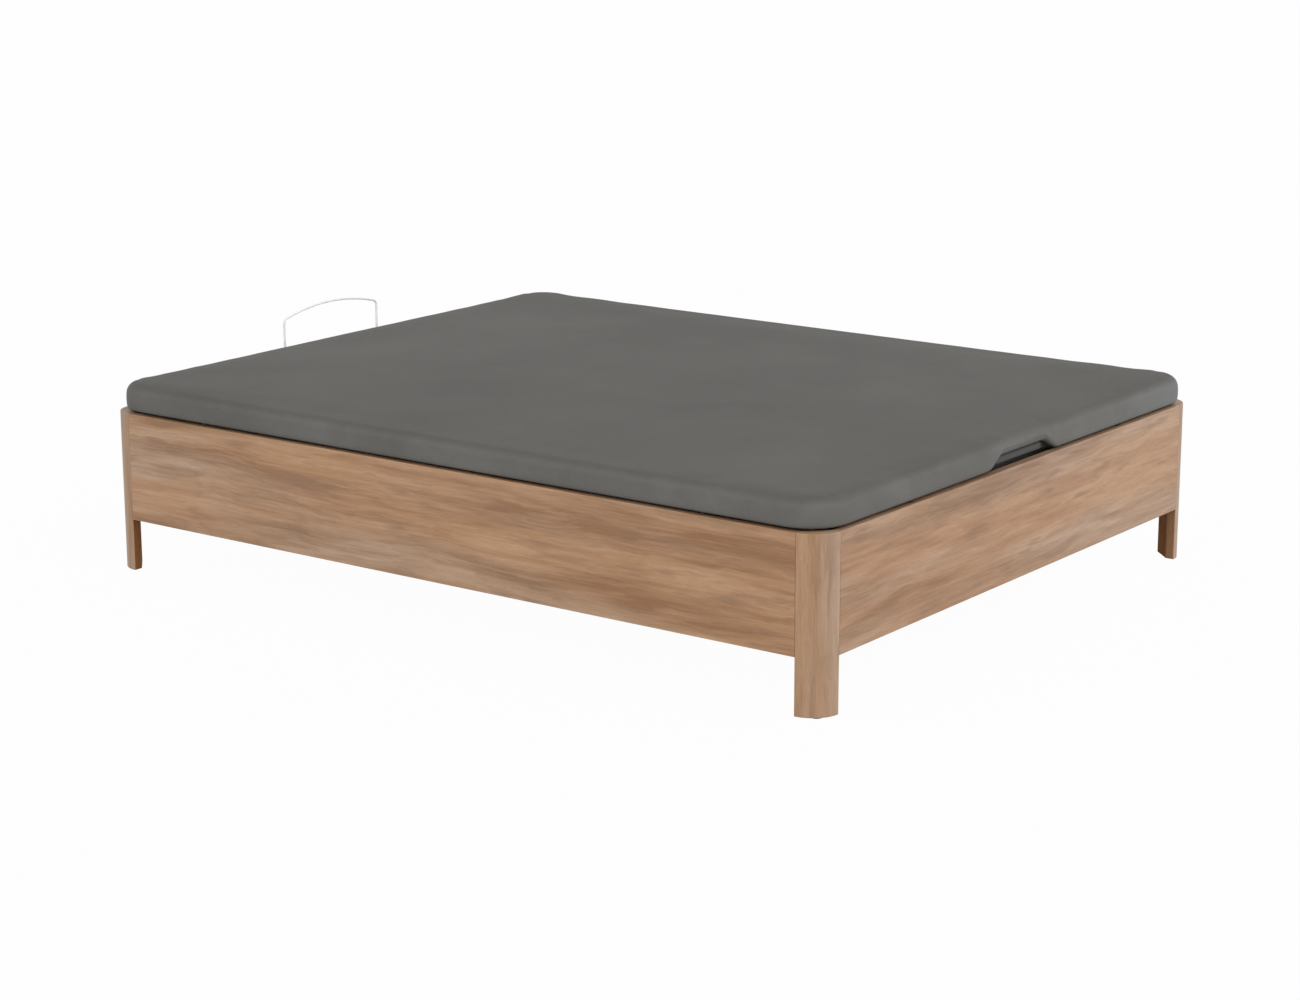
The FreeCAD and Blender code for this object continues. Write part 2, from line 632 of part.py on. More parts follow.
def knuckle_zones(centre, knuckles):
    """Stretches of the barrel that belong to one leaf, widened by half the play between knuckles."""
    step = "hinge_width / 5"
    start = f"({centre}) - hinge_width / 2"
    return [(f"{start} + {step} * {index} - knuckle_gap / 2",
             f"{start} + {step} * {index + 1} + knuckle_gap / 2") for index in knuckles]


LID_SCREW_SPOTS = [("-hinge_width / 3", "-leaf_screw_row"), ("hinge_width / 3", "-leaf_screw_row"),
                   ("-hinge_width / 6", "-leaf_screw_far_row"), ("hinge_width / 6", "-leaf_screw_far_row")]


def barrel_and_hole(left):
    barrel = peg("barrel_radius", "hinge_width", (left, AXIS_Y, AXIS_Z), "x")
    hole = peg("hinge_pin + pin_play", "hinge_width + 2 * margin", (f"{left} - margin", AXIS_Y, AXIS_Z), "x")
    return barrel, hole


def base_leaf(side, centre):
    """Hinge leaf bent over the head board's inner edge, with its knuckles and screws."""
    left, right = f"({centre}) - hinge_width / 2", f"({centre}) + hinge_width / 2"
    barrel, pin_hole = barrel_and_hole(left)
    face = f"({HEAD} - board_thickness)"
    recess = f"({RIM} - hinge_recess)"
    flange = block((left, f"{face} - leaf", f"{RIM} - base_leaf_height"), (right, face, f"{recess} + leaf"))
    shelf = block((left, f"{face} - leaf", recess), (right, f"{AXIS_Y} + leaf / 2", f"{recess} + leaf"))
    neck = block((left, f"{AXIS_Y} - leaf / 2", recess), (right, f"{AXIS_Y} + leaf / 2", AXIS_Z))
    clear = [block((low, f"{AXIS_Y} - barrel_radius - 2 * margin", f"{recess} + leaf"),
                   (high, f"{AXIS_Y} + barrel_radius + 2 * margin", f"{AXIS_Z} + barrel_radius + margin"))
             for low, high in knuckle_zones(centre, LID_KNUCKLES)]
    starts = [(f"({centre}) + {dx}", f"{face} - leaf", f"{RIM} {dz}") for dx, dz in BASE_SCREW_SPOTS]
    holes = [peg("screw_radius + slack", "leaf + 2 * margin", shifted(start, "-y", "margin"), "y")
             for start in starts]
    node(f"hinge_base_leaf_{side}",
         minus(joined([flange, shelf, neck, barrel]), clear + [pin_hole] + holes, "base_leaf"))
    return [screw(shifted(start, "-y", "screw_head_height"), "y", "hinge_screw + leaf") for start in starts]


def lid_leaf(side, centre):
    """Hinge leaf under the lid board, with its knuckles, screws and the pilot holes for them."""
    left, right = f"({centre}) - hinge_width / 2", f"({centre}) + hinge_width / 2"
    barrel, pin_hole = barrel_and_hole(left)
    plate = block((left, f"{AXIS_Y} - lid_leaf_reach", LID_LOW), (right, AXIS_Y, BOARD_LOW))
    web = block((left, f"{AXIS_Y} - barrel_radius", AXIS_Z), (right, AXIS_Y, BOARD_LOW))
    clear = [block((low, f"{AXIS_Y} - barrel_radius - 3 * margin", f"{AXIS_Z} - barrel_radius - margin"),
                   (high, f"{AXIS_Y} + barrel_radius + margin", f"{BOARD_LOW} + margin"))
             for low, high in knuckle_zones(centre, BASE_KNUCKLES)]
    spots = [(f"({centre}) + {dx}", f"{AXIS_Y} {dy}", LID_LOW) for dx, dy in LID_SCREW_SPOTS]
    holes = [peg("screw_radius + slack", "leaf + 2 * margin", shifted(spot, "-z", "margin"), "z")
             for spot in spots]
    node(f"hinge_lid_leaf_{side}",
         minus(joined([plate, web, barrel]), clear + [pin_hole] + holes, "lid_leaf"))
    screws = [screw(shifted(spot, "-z", "screw_head_height"), "z", "hinge_screw + leaf") for spot in spots]
    pilots = [peg("screw_radius + slack", "hinge_screw", shifted(spot, "z", "cover"), "z") for spot in spots]
    return screws, pilots


def hinges():
    """Three butt hinges; returns pilot holes for the lid board and openings for the cloth."""
    pins, base_screws, lid_screws, pilots, windows = [], [], [], [], []
    for side, centre in HINGES.items():
        base_screws += base_leaf(side, centre)
        screws, holes = lid_leaf(side, centre)
        lid_screws += screws
        pilots += holes
        left, right = f"({centre}) - hinge_width / 2", f"({centre}) + hinge_width / 2"
        pins.append(peg("hinge_pin", "hinge_width - margin", (f"{left} + margin / 2", AXIS_Y, AXIS_Z), "x"))
        windows.append(block((f"{left} - window_play", f"{AXIS_Y} - lid_leaf_reach - window_play",
                              f"{LID_LOW} - window_play"),
                             (f"{right} + window_play", f"{AXIS_Y} + 2 * window_play",
                              f"{BOARD_LOW} + cushion_play / 2")))
    node("hinge_pins", grouped(pins))
    node("hinge_base_screws", grouped(base_screws))
    node("hinge_lid_screws", grouped(lid_screws))
    return pilots, windows


# Both ends of a gas spring lie equally far from the hinge axis
GAS_LOW_Y = f"({AXIS_Y} - gas_arm * cos((gas_dip + gas_spread) * 1deg))"
GAS_LOW_Z = f"({AXIS_Z} - gas_arm * sin((gas_dip + gas_spread) * 1deg))"
GAS_HIGH_Y = f"({AXIS_Y} - gas_arm * cos(gas_dip * 1deg))"
GAS_HIGH_Z = f"({AXIS_Z} - gas_arm * sin(gas_dip * 1deg))"
GAS_SPAN = "(2 * gas_arm * sin(gas_spread / 2 * 1deg))"
BRACKET_SCREW_SPOTS = [("-bracket_screw_front", "bracket_screw_high"),
                       ("bracket_screw_back", "bracket_screw_high"),
                       ("-bracket_screw_front", "-bracket_screw_low")]
BRACKET_HOLE = "eye_width * 4"


def lower_bracket_pilots(name, span):
    """Screw holes for the lower gas spring bracket, in the board's own frame."""
    along = f"({GAS_LOW_Y} - {FOOT} - post_radius)"
    pilots = []
    for dy, dz in BRACKET_SCREW_SPOTS:
        station = f"{along} + {dy}" if name == "right" else f"{span} - {along} - ({dy})"
        start = (station, "board_thickness", f"{GAS_LOW_Z} + {dz} - leg_height")
        pilots.append(peg("screw_radius + slack", "hinge_screw", start, "-y"))
    return pilots


def gas_spring(side, sign):
    """Cylinder with its closed end and gland, and rod with its piston, along one line."""
    def eye(height):
        return peg("eye_radius", "eye_width", ("-eye_width / 2", "0", height), "x")

    def eye_hole(height):
        return peg("pivot_radius + pivot_play", "eye_width + 2 * margin",
                   ("-eye_width / 2 - margin", "0", height), "x")

    gland = f"({GAS_SPAN} - gas_gland)"
    bore_start = "gas_tube_start + gas_end_wall"
    tube = joined([eye("0"), peg("gas_neck", "gas_neck_length", ("0", "0", "eye_radius / 2"), "z"),
                   peg("gas_tube", f"{gland} - gas_tube_start", ("0", "0", "gas_tube_start"), "z")])
    bore = peg("gas_bore", f"{gland} - ({bore_start}) - gas_gland_depth", ("0", "0", bore_start), "z")
    mouth = peg("gas_rod + gas_play", "gas_gland_depth + 4 * margin",
                ("0", "0", f"{gland} - gas_gland_depth - 2 * margin"), "z")
    rod_start = "piston_place + piston_height / 2"
    neck_start = f"{GAS_SPAN} - eye_radius / 2 - gas_neck_length"
    rod = joined([eye(GAS_SPAN), peg("gas_neck", "gas_neck_length", ("0", "0", neck_start), "z"),
                  peg("gas_rod", f"{GAS_SPAN} - eye_radius - ({rod_start})", ("0", "0", rod_start), "z"),
                  peg("gas_bore - gas_play", "piston_height", ("0", "0", "piston_place"), "z")])
    lean = Rotation(Vector(1, 0, 0), size("gas_dip + gas_spread / 2"))
    spot = (f"{sign}gas_place", GAS_LOW_Y, GAS_LOW_Z)
    cylinder = minus(tube, [eye_hole("0"), bore, mouth], "gas_cylinder")
    node(f"gas_cylinder_{side}", place(cylinder, *spot, lean))
    node(f"gas_rod_{side}", place(minus(rod, [eye_hole(GAS_SPAN)], "gas_rod"), *spot, lean))


def shoulder_bolt(start, way, length):
    """Bolt whose head ends at start, with its shoulder along the way."""
    back = way[1:] if way[0] == "-" else "-" + way
    head = peg("bolt_head", "bolt_head_height", shifted(start, back, "bolt_head_height"), way)
    return joined([head, peg("pivot_radius", length, shifted(start, back, "margin"), way)], "shoulder_bolt")


def lower_bracket(sign, out, back):
    """Bracket, screws and bolt of a gas spring's lower end, on the side board."""
    eye_out = f"{sign}(gas_place + eye_width / 2 + gas_play)"
    eye_in = f"{sign}(gas_place - eye_width / 2 - gas_play)"
    inner, wall = sorted([f"{sign}({INSIDE} - bracket)", f"{sign}{INSIDE}"], key=size)
    plate = block((inner, f"{GAS_LOW_Y} - bracket_front", f"{GAS_LOW_Z} - bracket_low"),
                  (wall, f"{GAS_LOW_Y} + bracket_back", f"{GAS_LOW_Z} + bracket_high"))
    boss = peg("boss_radius", f"{INSIDE} - gas_place - eye_width / 2 - gas_play",
               (eye_out, GAS_LOW_Y, GAS_LOW_Z), out)
    hole = peg("pivot_radius + slack", BRACKET_HOLE,
               (f"{sign}(gas_place - eye_width)", GAS_LOW_Y, GAS_LOW_Z), out)
    spots = [(f"{sign}({INSIDE} - bracket)", f"{GAS_LOW_Y} + {dy}", f"{GAS_LOW_Z} + {dz}")
             for dy, dz in BRACKET_SCREW_SPOTS]
    holes = [peg("screw_radius + slack", "bracket + 2 * margin", shifted(spot, back, "margin"), out)
             for spot in spots]
    screws = [screw(shifted(spot, back, "screw_head_height"), out, "hinge_screw + bracket - margin")
              for spot in spots]
    bolt = shoulder_bolt((eye_in, GAS_LOW_Y, GAS_LOW_Z), out, f"{INSIDE} - gas_place + eye_width / 2")
    return minus(joined([plate, boss]), [hole] + holes, "lower_bracket"), screws, bolt


def upper_bracket(sign, out, back):
    """Bracket and bolt of a gas spring's upper end, on the lid frame."""
    eye_out = f"{sign}(gas_place + eye_width / 2 + gas_play)"
    eye_in = f"{sign}(gas_place - eye_width / 2 - gas_play)"
    inner, outer = sorted([f"{sign}{FRAME_SIDE}", f"{sign}({FRAME_SIDE} + bracket)"], key=size)
    plate = block((inner, f"{GAS_HIGH_Y} - bracket_half", f"{GAS_HIGH_Z} - bracket_drop"),
                  (outer, f"{GAS_HIGH_Y} + bracket_half", f"{BOARD_LOW} - margin"))
    boss = peg("boss_radius", f"gas_place - eye_width / 2 - gas_play - {FRAME_SIDE}",
               (eye_in, GAS_HIGH_Y, GAS_HIGH_Z), back)
    hole = peg("pivot_radius + slack", BRACKET_HOLE,
               (f"{sign}(gas_place + eye_width)", GAS_HIGH_Y, GAS_HIGH_Z), back)
    bolt = shoulder_bolt((eye_out, GAS_HIGH_Y, GAS_HIGH_Z), back, f"gas_place + eye_width / 2 - {FRAME_SIDE}")
    return minus(joined([plate, boss]), [hole], "upper_bracket"), bolt


def gas_springs():
    lowers, screws, low_bolts, uppers, high_bolts = [], [], [], [], []
    for side, sign, out, back in (("left", "-", "-x", "x"), ("right", "", "x", "-x")):
        gas_spring(side, sign)
        lower, wood_screws, low_bolt = lower_bracket(sign, out, back)
        upper, high_bolt = upper_bracket(sign, out, back)
        lowers.append(lower)
        screws += wood_screws
        low_bolts.append(low_bolt)
        uppers.append(upper)
        high_bolts.append(high_bolt)
    node("gas_lower_brackets", grouped(lowers))
    node("gas_lower_screws", grouped(screws))
    node("gas_lower_bolts", grouped(low_bolts))
    node("gas_upper_brackets", grouped(uppers))
    node("gas_upper_bolts", grouped(high_bolts))


def rounded_slab(inset, low, high, corner, top_round=None, low_round=None):
    """Flat slab inside the outline of the box, with rounded corners and edges."""
    body, last = slab_body(f"width - 2 * ({inset})", f"length - 2 * ({inset})", f"{high} - ({low})")
    place(body, f"-{SIDE} + {inset}", f"{FOOT} + {inset}", low)
    tall = size(f"{high} - ({low})")
    last = rounded(body, last, corner, lambda box: box.ZLength > tall - TOUCH)
    if top_round:
        last = rounded(body, last, top_round, lambda box: box.ZMin > tall - TOUCH)
    if low_round:
        rounded(body, last, low_round, lambda box: box.ZMax < TOUCH)
    return body


def notch(grow, depth):
    """Hand notch at the foot end: a ramp-sided prism, wider at the rim than at its ceiling."""
    wedge = doc.addObject("Part::Wedge", "notch")
    run = "(notch_bottom - notch_top)"
    slant = f"({grow} * sqrt(pow({run}; 2) + pow(notch_height; 2)) / notch_height)"
    top = f"(notch_top + {slant} - {grow} * {run} / notch_height)"
    bottom = f"(notch_bottom + {slant})"
    bind(wedge, Xmin=f"-{bottom}", Xmax=bottom, X2min=f"-{top}", X2max=top, Ymin="0",
         Ymax=f"notch_height + {grow}", Zmin="0", Zmax=depth, Z2min="0", Z2max=depth)
    return place(wedge, "0", f"{FOOT} - notch_front + {depth}", RIM, WAYS["-y"])


FRAME_SCREW_PLACES = ["-frame_screw_outer", "-frame_screw_inner", "frame_screw_inner", "frame_screw_outer"]
FRAME_SCREW_LENGTH = "(tube + lid_board - frame_screw_cover)"
RETAINER_Z = f"({BOARD_LOW} + lid_board / 2)"
NOTCH_DEPTH = "(frame_inset + notch_front)"


def frame_tube(low, high, axis):
    """Square tube between two corners, open along one axis: its outside and its inside."""
    inner_low, inner_high = list(low), list(high)
    for index in range(3):
        inset = "-margin" if index == axis else "tube_wall"
        inner_low[index] = f"{low[index]} + ({inset})"
        inner_high[index] = f"{high[index]} - ({inset})"
    return block(low, high), block(tuple(inner_low), tuple(inner_high))


def tube_cap(faces, end, towards_end, towards_middle):
    """Plastic cap on one end of a long tube, with its plug."""
    plate_start, plate_end = sorted([end, f"{end} {towards_end} cap_plate"], key=size)
    plug_start, plug_end = sorted([end, f"{end} {towards_middle} cap_plug"], key=size)
    inset = "(tube_wall + slack)"
    plate = block((faces[0], plate_start, TUBE_LOW), (faces[1], plate_end, BOARD_LOW))
    plug = block((f"{faces[0]} + {inset}", plug_start, f"{TUBE_LOW} + {inset}"),
                 (f"{faces[1]} - {inset}", plug_end, f"{BOARD_LOW} - {inset}"))
    return joined([plate, plug], "tube_cap")


def lid_frame():
    """Welded lid frame of square tube with caps, and the screws up into the lid board."""
    screws, pilots, caps = [], [], []
    for side, sign in (("left", "-"), ("right", "")):
        faces = sorted([f"{sign}{FRAME_SIDE}", f"{sign}({FRAME_SIDE} - tube)"], key=size)
        middle = f"{sign}({FRAME_SIDE} - tube / 2)"
        outer, inner = frame_tube((faces[0], FRAME_FOOT, TUBE_LOW), (faces[1], FRAME_HEAD, BOARD_LOW), 1)
        spots = [(middle, f"{MIDDLE} + {y}", f"{TUBE_LOW} - screw_head_height") for y in FRAME_SCREW_PLACES]
        screws += [screw(spot, "z", f"{FRAME_SCREW_LENGTH} + screw_head_height") for spot in spots]
        holes = [peg("screw_radius + slack", "tube + 2 * margin",
                     shifted(spot, "z", "screw_head_height - margin"), "z") for spot in spots]
        pilots += [peg("screw_radius + slack", "lid_board - frame_screw_cover + margin",
                       (spot[0], spot[1], BOARD_LOW), "z") for spot in spots]
        node(f"lid_tube_{side}", minus(outer, [joined([inner] + holes)], "lid_tube"))
        caps.append(tube_cap(faces, FRAME_FOOT, "-", "+"))
        caps.append(tube_cap(faces, FRAME_HEAD, "+", "-"))
    reach = f"({FRAME_SIDE} - tube)"
    rows = [("foot", FRAME_FOOT), ("head", f"{FRAME_HEAD} - tube"),
            ("cross_foot", f"{MIDDLE} - cross_tube_place - tube / 2"),
            ("cross_middle", f"{MIDDLE} - tube / 2"),
            ("cross_head", f"{MIDDLE} + cross_tube_place - tube / 2")]
    for label, y in rows:
        outer, inner = frame_tube((f"-{reach}", y, TUBE_LOW), (reach, f"{y} + tube", BOARD_LOW), 0)
        node(f"lid_tube_{label}", minus(outer, [inner], "lid_tube"))
    node("lid_tube_caps", grouped(caps))
    node("lid_frame_screws", grouped(screws))
    return pilots


def retainer_path():
    """Centre line of the retainer: prong, bend, leg, corner, arch and the same back."""
    half, bend = size("retainer_half"), size("retainer_bend")
    z_prong, y_loop = size(RETAINER_Z), size(f"{HEAD} + retainer_standoff")
    y_in = size(f"{HEAD} - lid_board_inset - ferrule_length + prong_stop")
    shoulder, top = size(f"{RIM} + retainer_shoulder"), size(f"{RIM} + retainer_top - retainer_wire / 2")
    diagonal = bend * math.sqrt(0.5)
    prong = [Vector(-half, y_in, z_prong), Vector(-half, y_loop - bend, z_prong)]
    turn = [prong[1], Vector(-half, y_loop - bend + diagonal, z_prong + bend - diagonal),
            Vector(-half, y_loop, z_prong + bend)]

    # The arch touches both corner bends: its radius follows from its rise over their centres
    rise = top - shoulder
    arch_radius = ((half - bend) ** 2 + rise ** 2 - bend ** 2) / (2 * (rise - bend))
    corner_turn = math.atan2(arch_radius - rise, half - bend)

    def on_corner(angle):
        return Vector(-half + bend - bend * math.cos(angle), y_loop, shoulder + bend * math.sin(angle))

    corner = [on_corner(0), on_corner(corner_turn / 2), on_corner(corner_turn)]

    def mirrored(points):
        return [Vector(-point.x, point.y, point.z) for point in reversed(points)]

    edges = [Part.LineSegment(*prong), Part.Arc(*turn), Part.LineSegment(turn[2], corner[0]),
             Part.Arc(*corner), Part.Arc(corner[2], Vector(0, y_loop, top), mirrored(corner)[0]),
             Part.Arc(*mirrored(corner)), Part.LineSegment(mirrored(corner)[2], mirrored(turn)[0]),
             Part.Arc(*mirrored(turn)), Part.LineSegment(*mirrored(prong))]
    return Part.Wire([edge.toShape() for edge in edges]), prong[0]


def retainer():
    """Mattress retainer: one bent wire whose two prongs run into ferrules in the lid board's edge."""
    path, start = retainer_path()
    radius = size("retainer_wire / 2")
    ring = Part.Wire([Part.Circle(start, Vector(0, 1, 0), radius).toShape()])
    wire = doc.addObject("Part::Feature", "retainer_wire_loop")
    wire.Shape = path.makePipeShell([ring], True, False)
    swept = math.pi * radius ** 2 * path.Length
    print("retainer volume over section times length", round(wire.Shape.Volume / swept, 4))
    node("mattress_retainer", wire)
    ferrules, set_screws, bores, outlets = [], [], [], []
    edge = f"({HEAD} - lid_board_inset)"
    for x in ("-retainer_half", "retainer_half"):
        mouth = (x, edge, RETAINER_Z)
        screw_foot = (x, f"{edge} - ferrule_length / 2", BOARD_LOW)
        sleeve = peg("ferrule_radius", "ferrule_length", mouth, "-y")
        way_in = peg("retainer_wire / 2 + slack", "ferrule_length + 2 * margin",
                     shifted(mouth, "y", "margin"), "-y")
        screw_way = peg("set_screw + slack", "lid_board / 2", screw_foot, "z")
        ferrules.append(minus(sleeve, [way_in, screw_way], "ferrule"))
        set_screws.append(peg("set_screw", "lid_board / 2 - retainer_wire / 2 - slack", screw_foot, "z"))
        bores.append(joined([peg("ferrule_radius + slack", "ferrule_length + slack", mouth, "-y"),
                             peg("set_screw + slack", "lid_board / 2",
                                 shifted(screw_foot, "-z", "margin / 2"), "z")]))
        outlets.append(peg("wire_outlet", "lid_board_inset * 2",
                           shifted(mouth, "-y", "lid_board_inset / 2"), "y"))
    node("retainer_ferrules", grouped(ferrules))
    node("retainer_set_screws", grouped(set_screws))
    return bores, outlets


def lid():
    """Lid board, foam and cloth cover with the hand notch, its liner, hinges, frame and retainer."""
    pilots, windows = hinges()
    pilots += lid_frame()
    bores, outlets = retainer()
    play = "cushion_play"
    board_corner = "lid_corner + lid_inset - lid_board_inset"

    board = rounded_slab("lid_board_inset", BOARD_LOW, BOARD_TOP, board_corner)
    node("lid_board", minus(board, [notch("cover", NOTCH_DEPTH)] + pilots + bores, "lid_board"))

    skin = "(lid_inset + cover)"
    outside = rounded_slab("lid_inset", LID_LOW, LID_TOP, "lid_corner", "lid_top_round", "lid_low_round")
    cavity = rounded_slab(skin, BOARD_LOW, f"{LID_TOP} - cover",
                          "lid_corner - cover", "lid_top_round - cover")
    opening = rounded_slab("cover_return", f"{LID_LOW} - margin", f"{BOARD_LOW} + margin",
                           "lid_corner + lid_inset - cover_return")
    cuts = [cavity, opening, notch("cover", NOTCH_DEPTH)] + windows + outlets
    node("lid_cover", minus(outside, cuts, "cover"))

    pad = rounded_slab(f"({skin} + {play})", f"{BOARD_LOW} + {play}", f"{LID_TOP} - cover - {play}",
                       f"lid_corner - cover - {play}", f"lid_top_round - cover - {play}")
    pocket = rounded_slab(f"(lid_board_inset - {play})", f"{BOARD_LOW} - margin", f"{BOARD_TOP} + {play}",
                          f"{board_corner} + {play}")
    hand_room = notch(f"(cover + {play})", f"({NOTCH_DEPTH} + {play})")
    node("lid_foam", minus(pad, [pocket, hand_room] + outlets, "foam"))

    lining = minus(notch(f"(cover - {play} / 2)", f"({NOTCH_DEPTH} - {play} / 2)"),
                   [notch("0", f"({NOTCH_DEPTH} - cover)")], "lining")
    reach = "notch_bottom * 2"
    below = block((f"-{reach}", FOOT, f"{RIM} - margin"), (reach, f"{FOOT} + length / 4", LID_LOW))
    front = block((f"-{reach}", f"{FOOT} - notch_front * 2", f"{RIM} - 2 * margin"),
                  (reach, f"{FOOT} + lid_inset + {play}", LID_TOP))
    node("handhold_liner", minus(lining, [below, front], "liner"))


for corner in CORNERS:
    corner_post(*corner)
node("leg_glides", grouped([leg_glide(x, y, turn) for _, x, y, turn in CORNERS]))
box_boards()
floor()
rim_bumpers()
lid()
gas_springs()
doc.recompute()

failed = [thing.Label for thing in doc.Objects if {"Invalid", "Error"} & set(thing.State)]
bad = [label for label, thing in nodes.items() if thing.Shape.isNull() or not thing.Shape.isValid()]
if failed or bad:
    raise RuntimeError(f"failed objects {failed}, bad shapes {bad}")
for label, thing in nodes.items():
    solids = thing.Shape.Solids
    whole = solids[0] if len(solids) == 1 else Part.makeCompound(solids)
    whole.exportStep(f"parts/{label}.step")
print(len(nodes), "nodes,", sum(len(thing.Shape.Solids) for thing in nodes.values()), "solids")
print("gas spring lower end", size("gas_place"), size(GAS_LOW_Y), size(GAS_LOW_Z))
print("gas spring upper end", size("gas_place"), size(GAS_HIGH_Y), size(GAS_HIGH_Z))
print("hinge axis", size(AXIS_Y), size(AXIS_Z))
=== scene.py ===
import math

import bmesh
import bpy
import numpy as np
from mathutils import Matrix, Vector


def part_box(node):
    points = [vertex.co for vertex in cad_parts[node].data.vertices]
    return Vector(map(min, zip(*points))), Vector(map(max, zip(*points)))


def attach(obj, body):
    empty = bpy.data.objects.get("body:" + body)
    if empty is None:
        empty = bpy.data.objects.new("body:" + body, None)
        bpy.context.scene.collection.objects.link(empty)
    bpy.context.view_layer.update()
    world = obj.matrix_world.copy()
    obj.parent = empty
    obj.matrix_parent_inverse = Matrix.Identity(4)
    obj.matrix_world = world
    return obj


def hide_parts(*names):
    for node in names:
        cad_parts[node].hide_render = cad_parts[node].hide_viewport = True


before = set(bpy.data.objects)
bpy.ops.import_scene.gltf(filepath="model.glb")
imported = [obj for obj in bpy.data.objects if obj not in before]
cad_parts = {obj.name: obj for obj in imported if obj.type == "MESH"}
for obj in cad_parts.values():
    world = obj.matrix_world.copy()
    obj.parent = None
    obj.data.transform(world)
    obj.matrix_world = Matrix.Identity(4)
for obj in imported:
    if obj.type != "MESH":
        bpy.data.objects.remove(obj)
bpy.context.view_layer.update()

# Looks of a storage bed base: wood-look box, upholstered lift-up lid, wire mattress retainer.
# Metres, in the frame of the solids: +X to the right seen from the foot end, +Y to the head, +Z up.

MM = 0.001

# The lid's cloth, measured from the solids that it stands for
COVER_LOW, COVER_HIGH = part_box("lid_cover")
BOARD_LOW, BOARD_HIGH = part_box("lid_board")
NOTCH_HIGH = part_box("handhold_liner")[1]
HINGE_LEAVES = [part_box(f"hinge_lid_leaf_{side}") for side in ("left", "centre", "right")]
LID_CORNER = 92 * MM
TOP_ROUND = 25 * MM
LOW_ROUND, NOTCH_ROUND = 9 * MM, 16 * MM
CLOTH = 3 * MM
CLOTH_RETURN = 35 * MM
NOTCH_SLOPE = 63 / 30
NOTCH_FADE = 45 * MM
RAMP_SOFTNESS = 0.2
RAMP_CLEAR = 2 * MM
HINGE_MARGIN = 2 * MM
HINGE_FADE = 8 * MM
PLAY = 0.3 * MM

# Spacing of the cloth's mesh
COARSE_STEP = 22 * MM
FINE_STEP = 8 * MM
CORNER_STEPS = 5
TOP_RIM = 70 * MM

# Cloth simulation: slack and pressure swell the pad a little, and a cap holds it to its shape
SIM_FRAMES = 18
SIM_QUALITY = 5
SIM_PRESSURE = 1.2
SIM_SLACK = -0.012
SIM_CAP = 3.5 * MM

# Camera of the photograph: place, aim and the frame of 1300 x 1000 pixels
IMAGE_WIDTH = 1300
FOCAL_PIXELS = 2910.0
OPTICAL_AXIS_OFF_CENTRE = (22.0, -5.5)
CAMERA_PLACE = (-5.4023, -4.0166, 1.8175)
CAMERA_YAW = math.radians(53.824)
CAMERA_PITCH = math.radians(13.827)
SENSOR = 36.0

# Light: a sky that is brighter towards the horizon and on the camera's side, like the walls of a
# studio, and one soft lamp. The floor looks white, and gives back the light of a pale grey one.
HORIZON_STRENGTH = 1.45
ZENITH_STRENGTH = 0.45
BRIGHT_SIDE = (-0.6, -0.8, 0.0)
BRIGHT_SHARE, DIM_SHARE = 1.35, 0.55
KEY_STRENGTH = 0.65
KEY_FROM = (-0.15, -0.9, 1.0)
KEY_SOFTNESS = math.radians(40)
FLOOR_COLOUR = (206, 206, 206)
FLOOR_WHITENESS = 0.975
FLOOR_SIZE = 80.0

X, Y, Z = range(3)
# Sockets of a mix node that are used when it mixes colours
MIX_INPUTS, MIX_OUTPUT = (0, 6, 7), 2
WHITE = (255, 255, 255)
# Most values of a noise lie in this range, and fine noises have this detail
MIDDLE_RANGE = (0.3, 0.7)
FINE_DETAIL = 2.0


def linear(red, green, blue):
    """A colour given as it looks on screen, 0 to 255, for a shader's socket."""
    def channel(value):
        value /= 255
        return value / 12.92 if value <= 0.04045 else ((value + 0.055) / 1.055) ** 2.4
    return (channel(red), channel(green), channel(blue), 1.0)


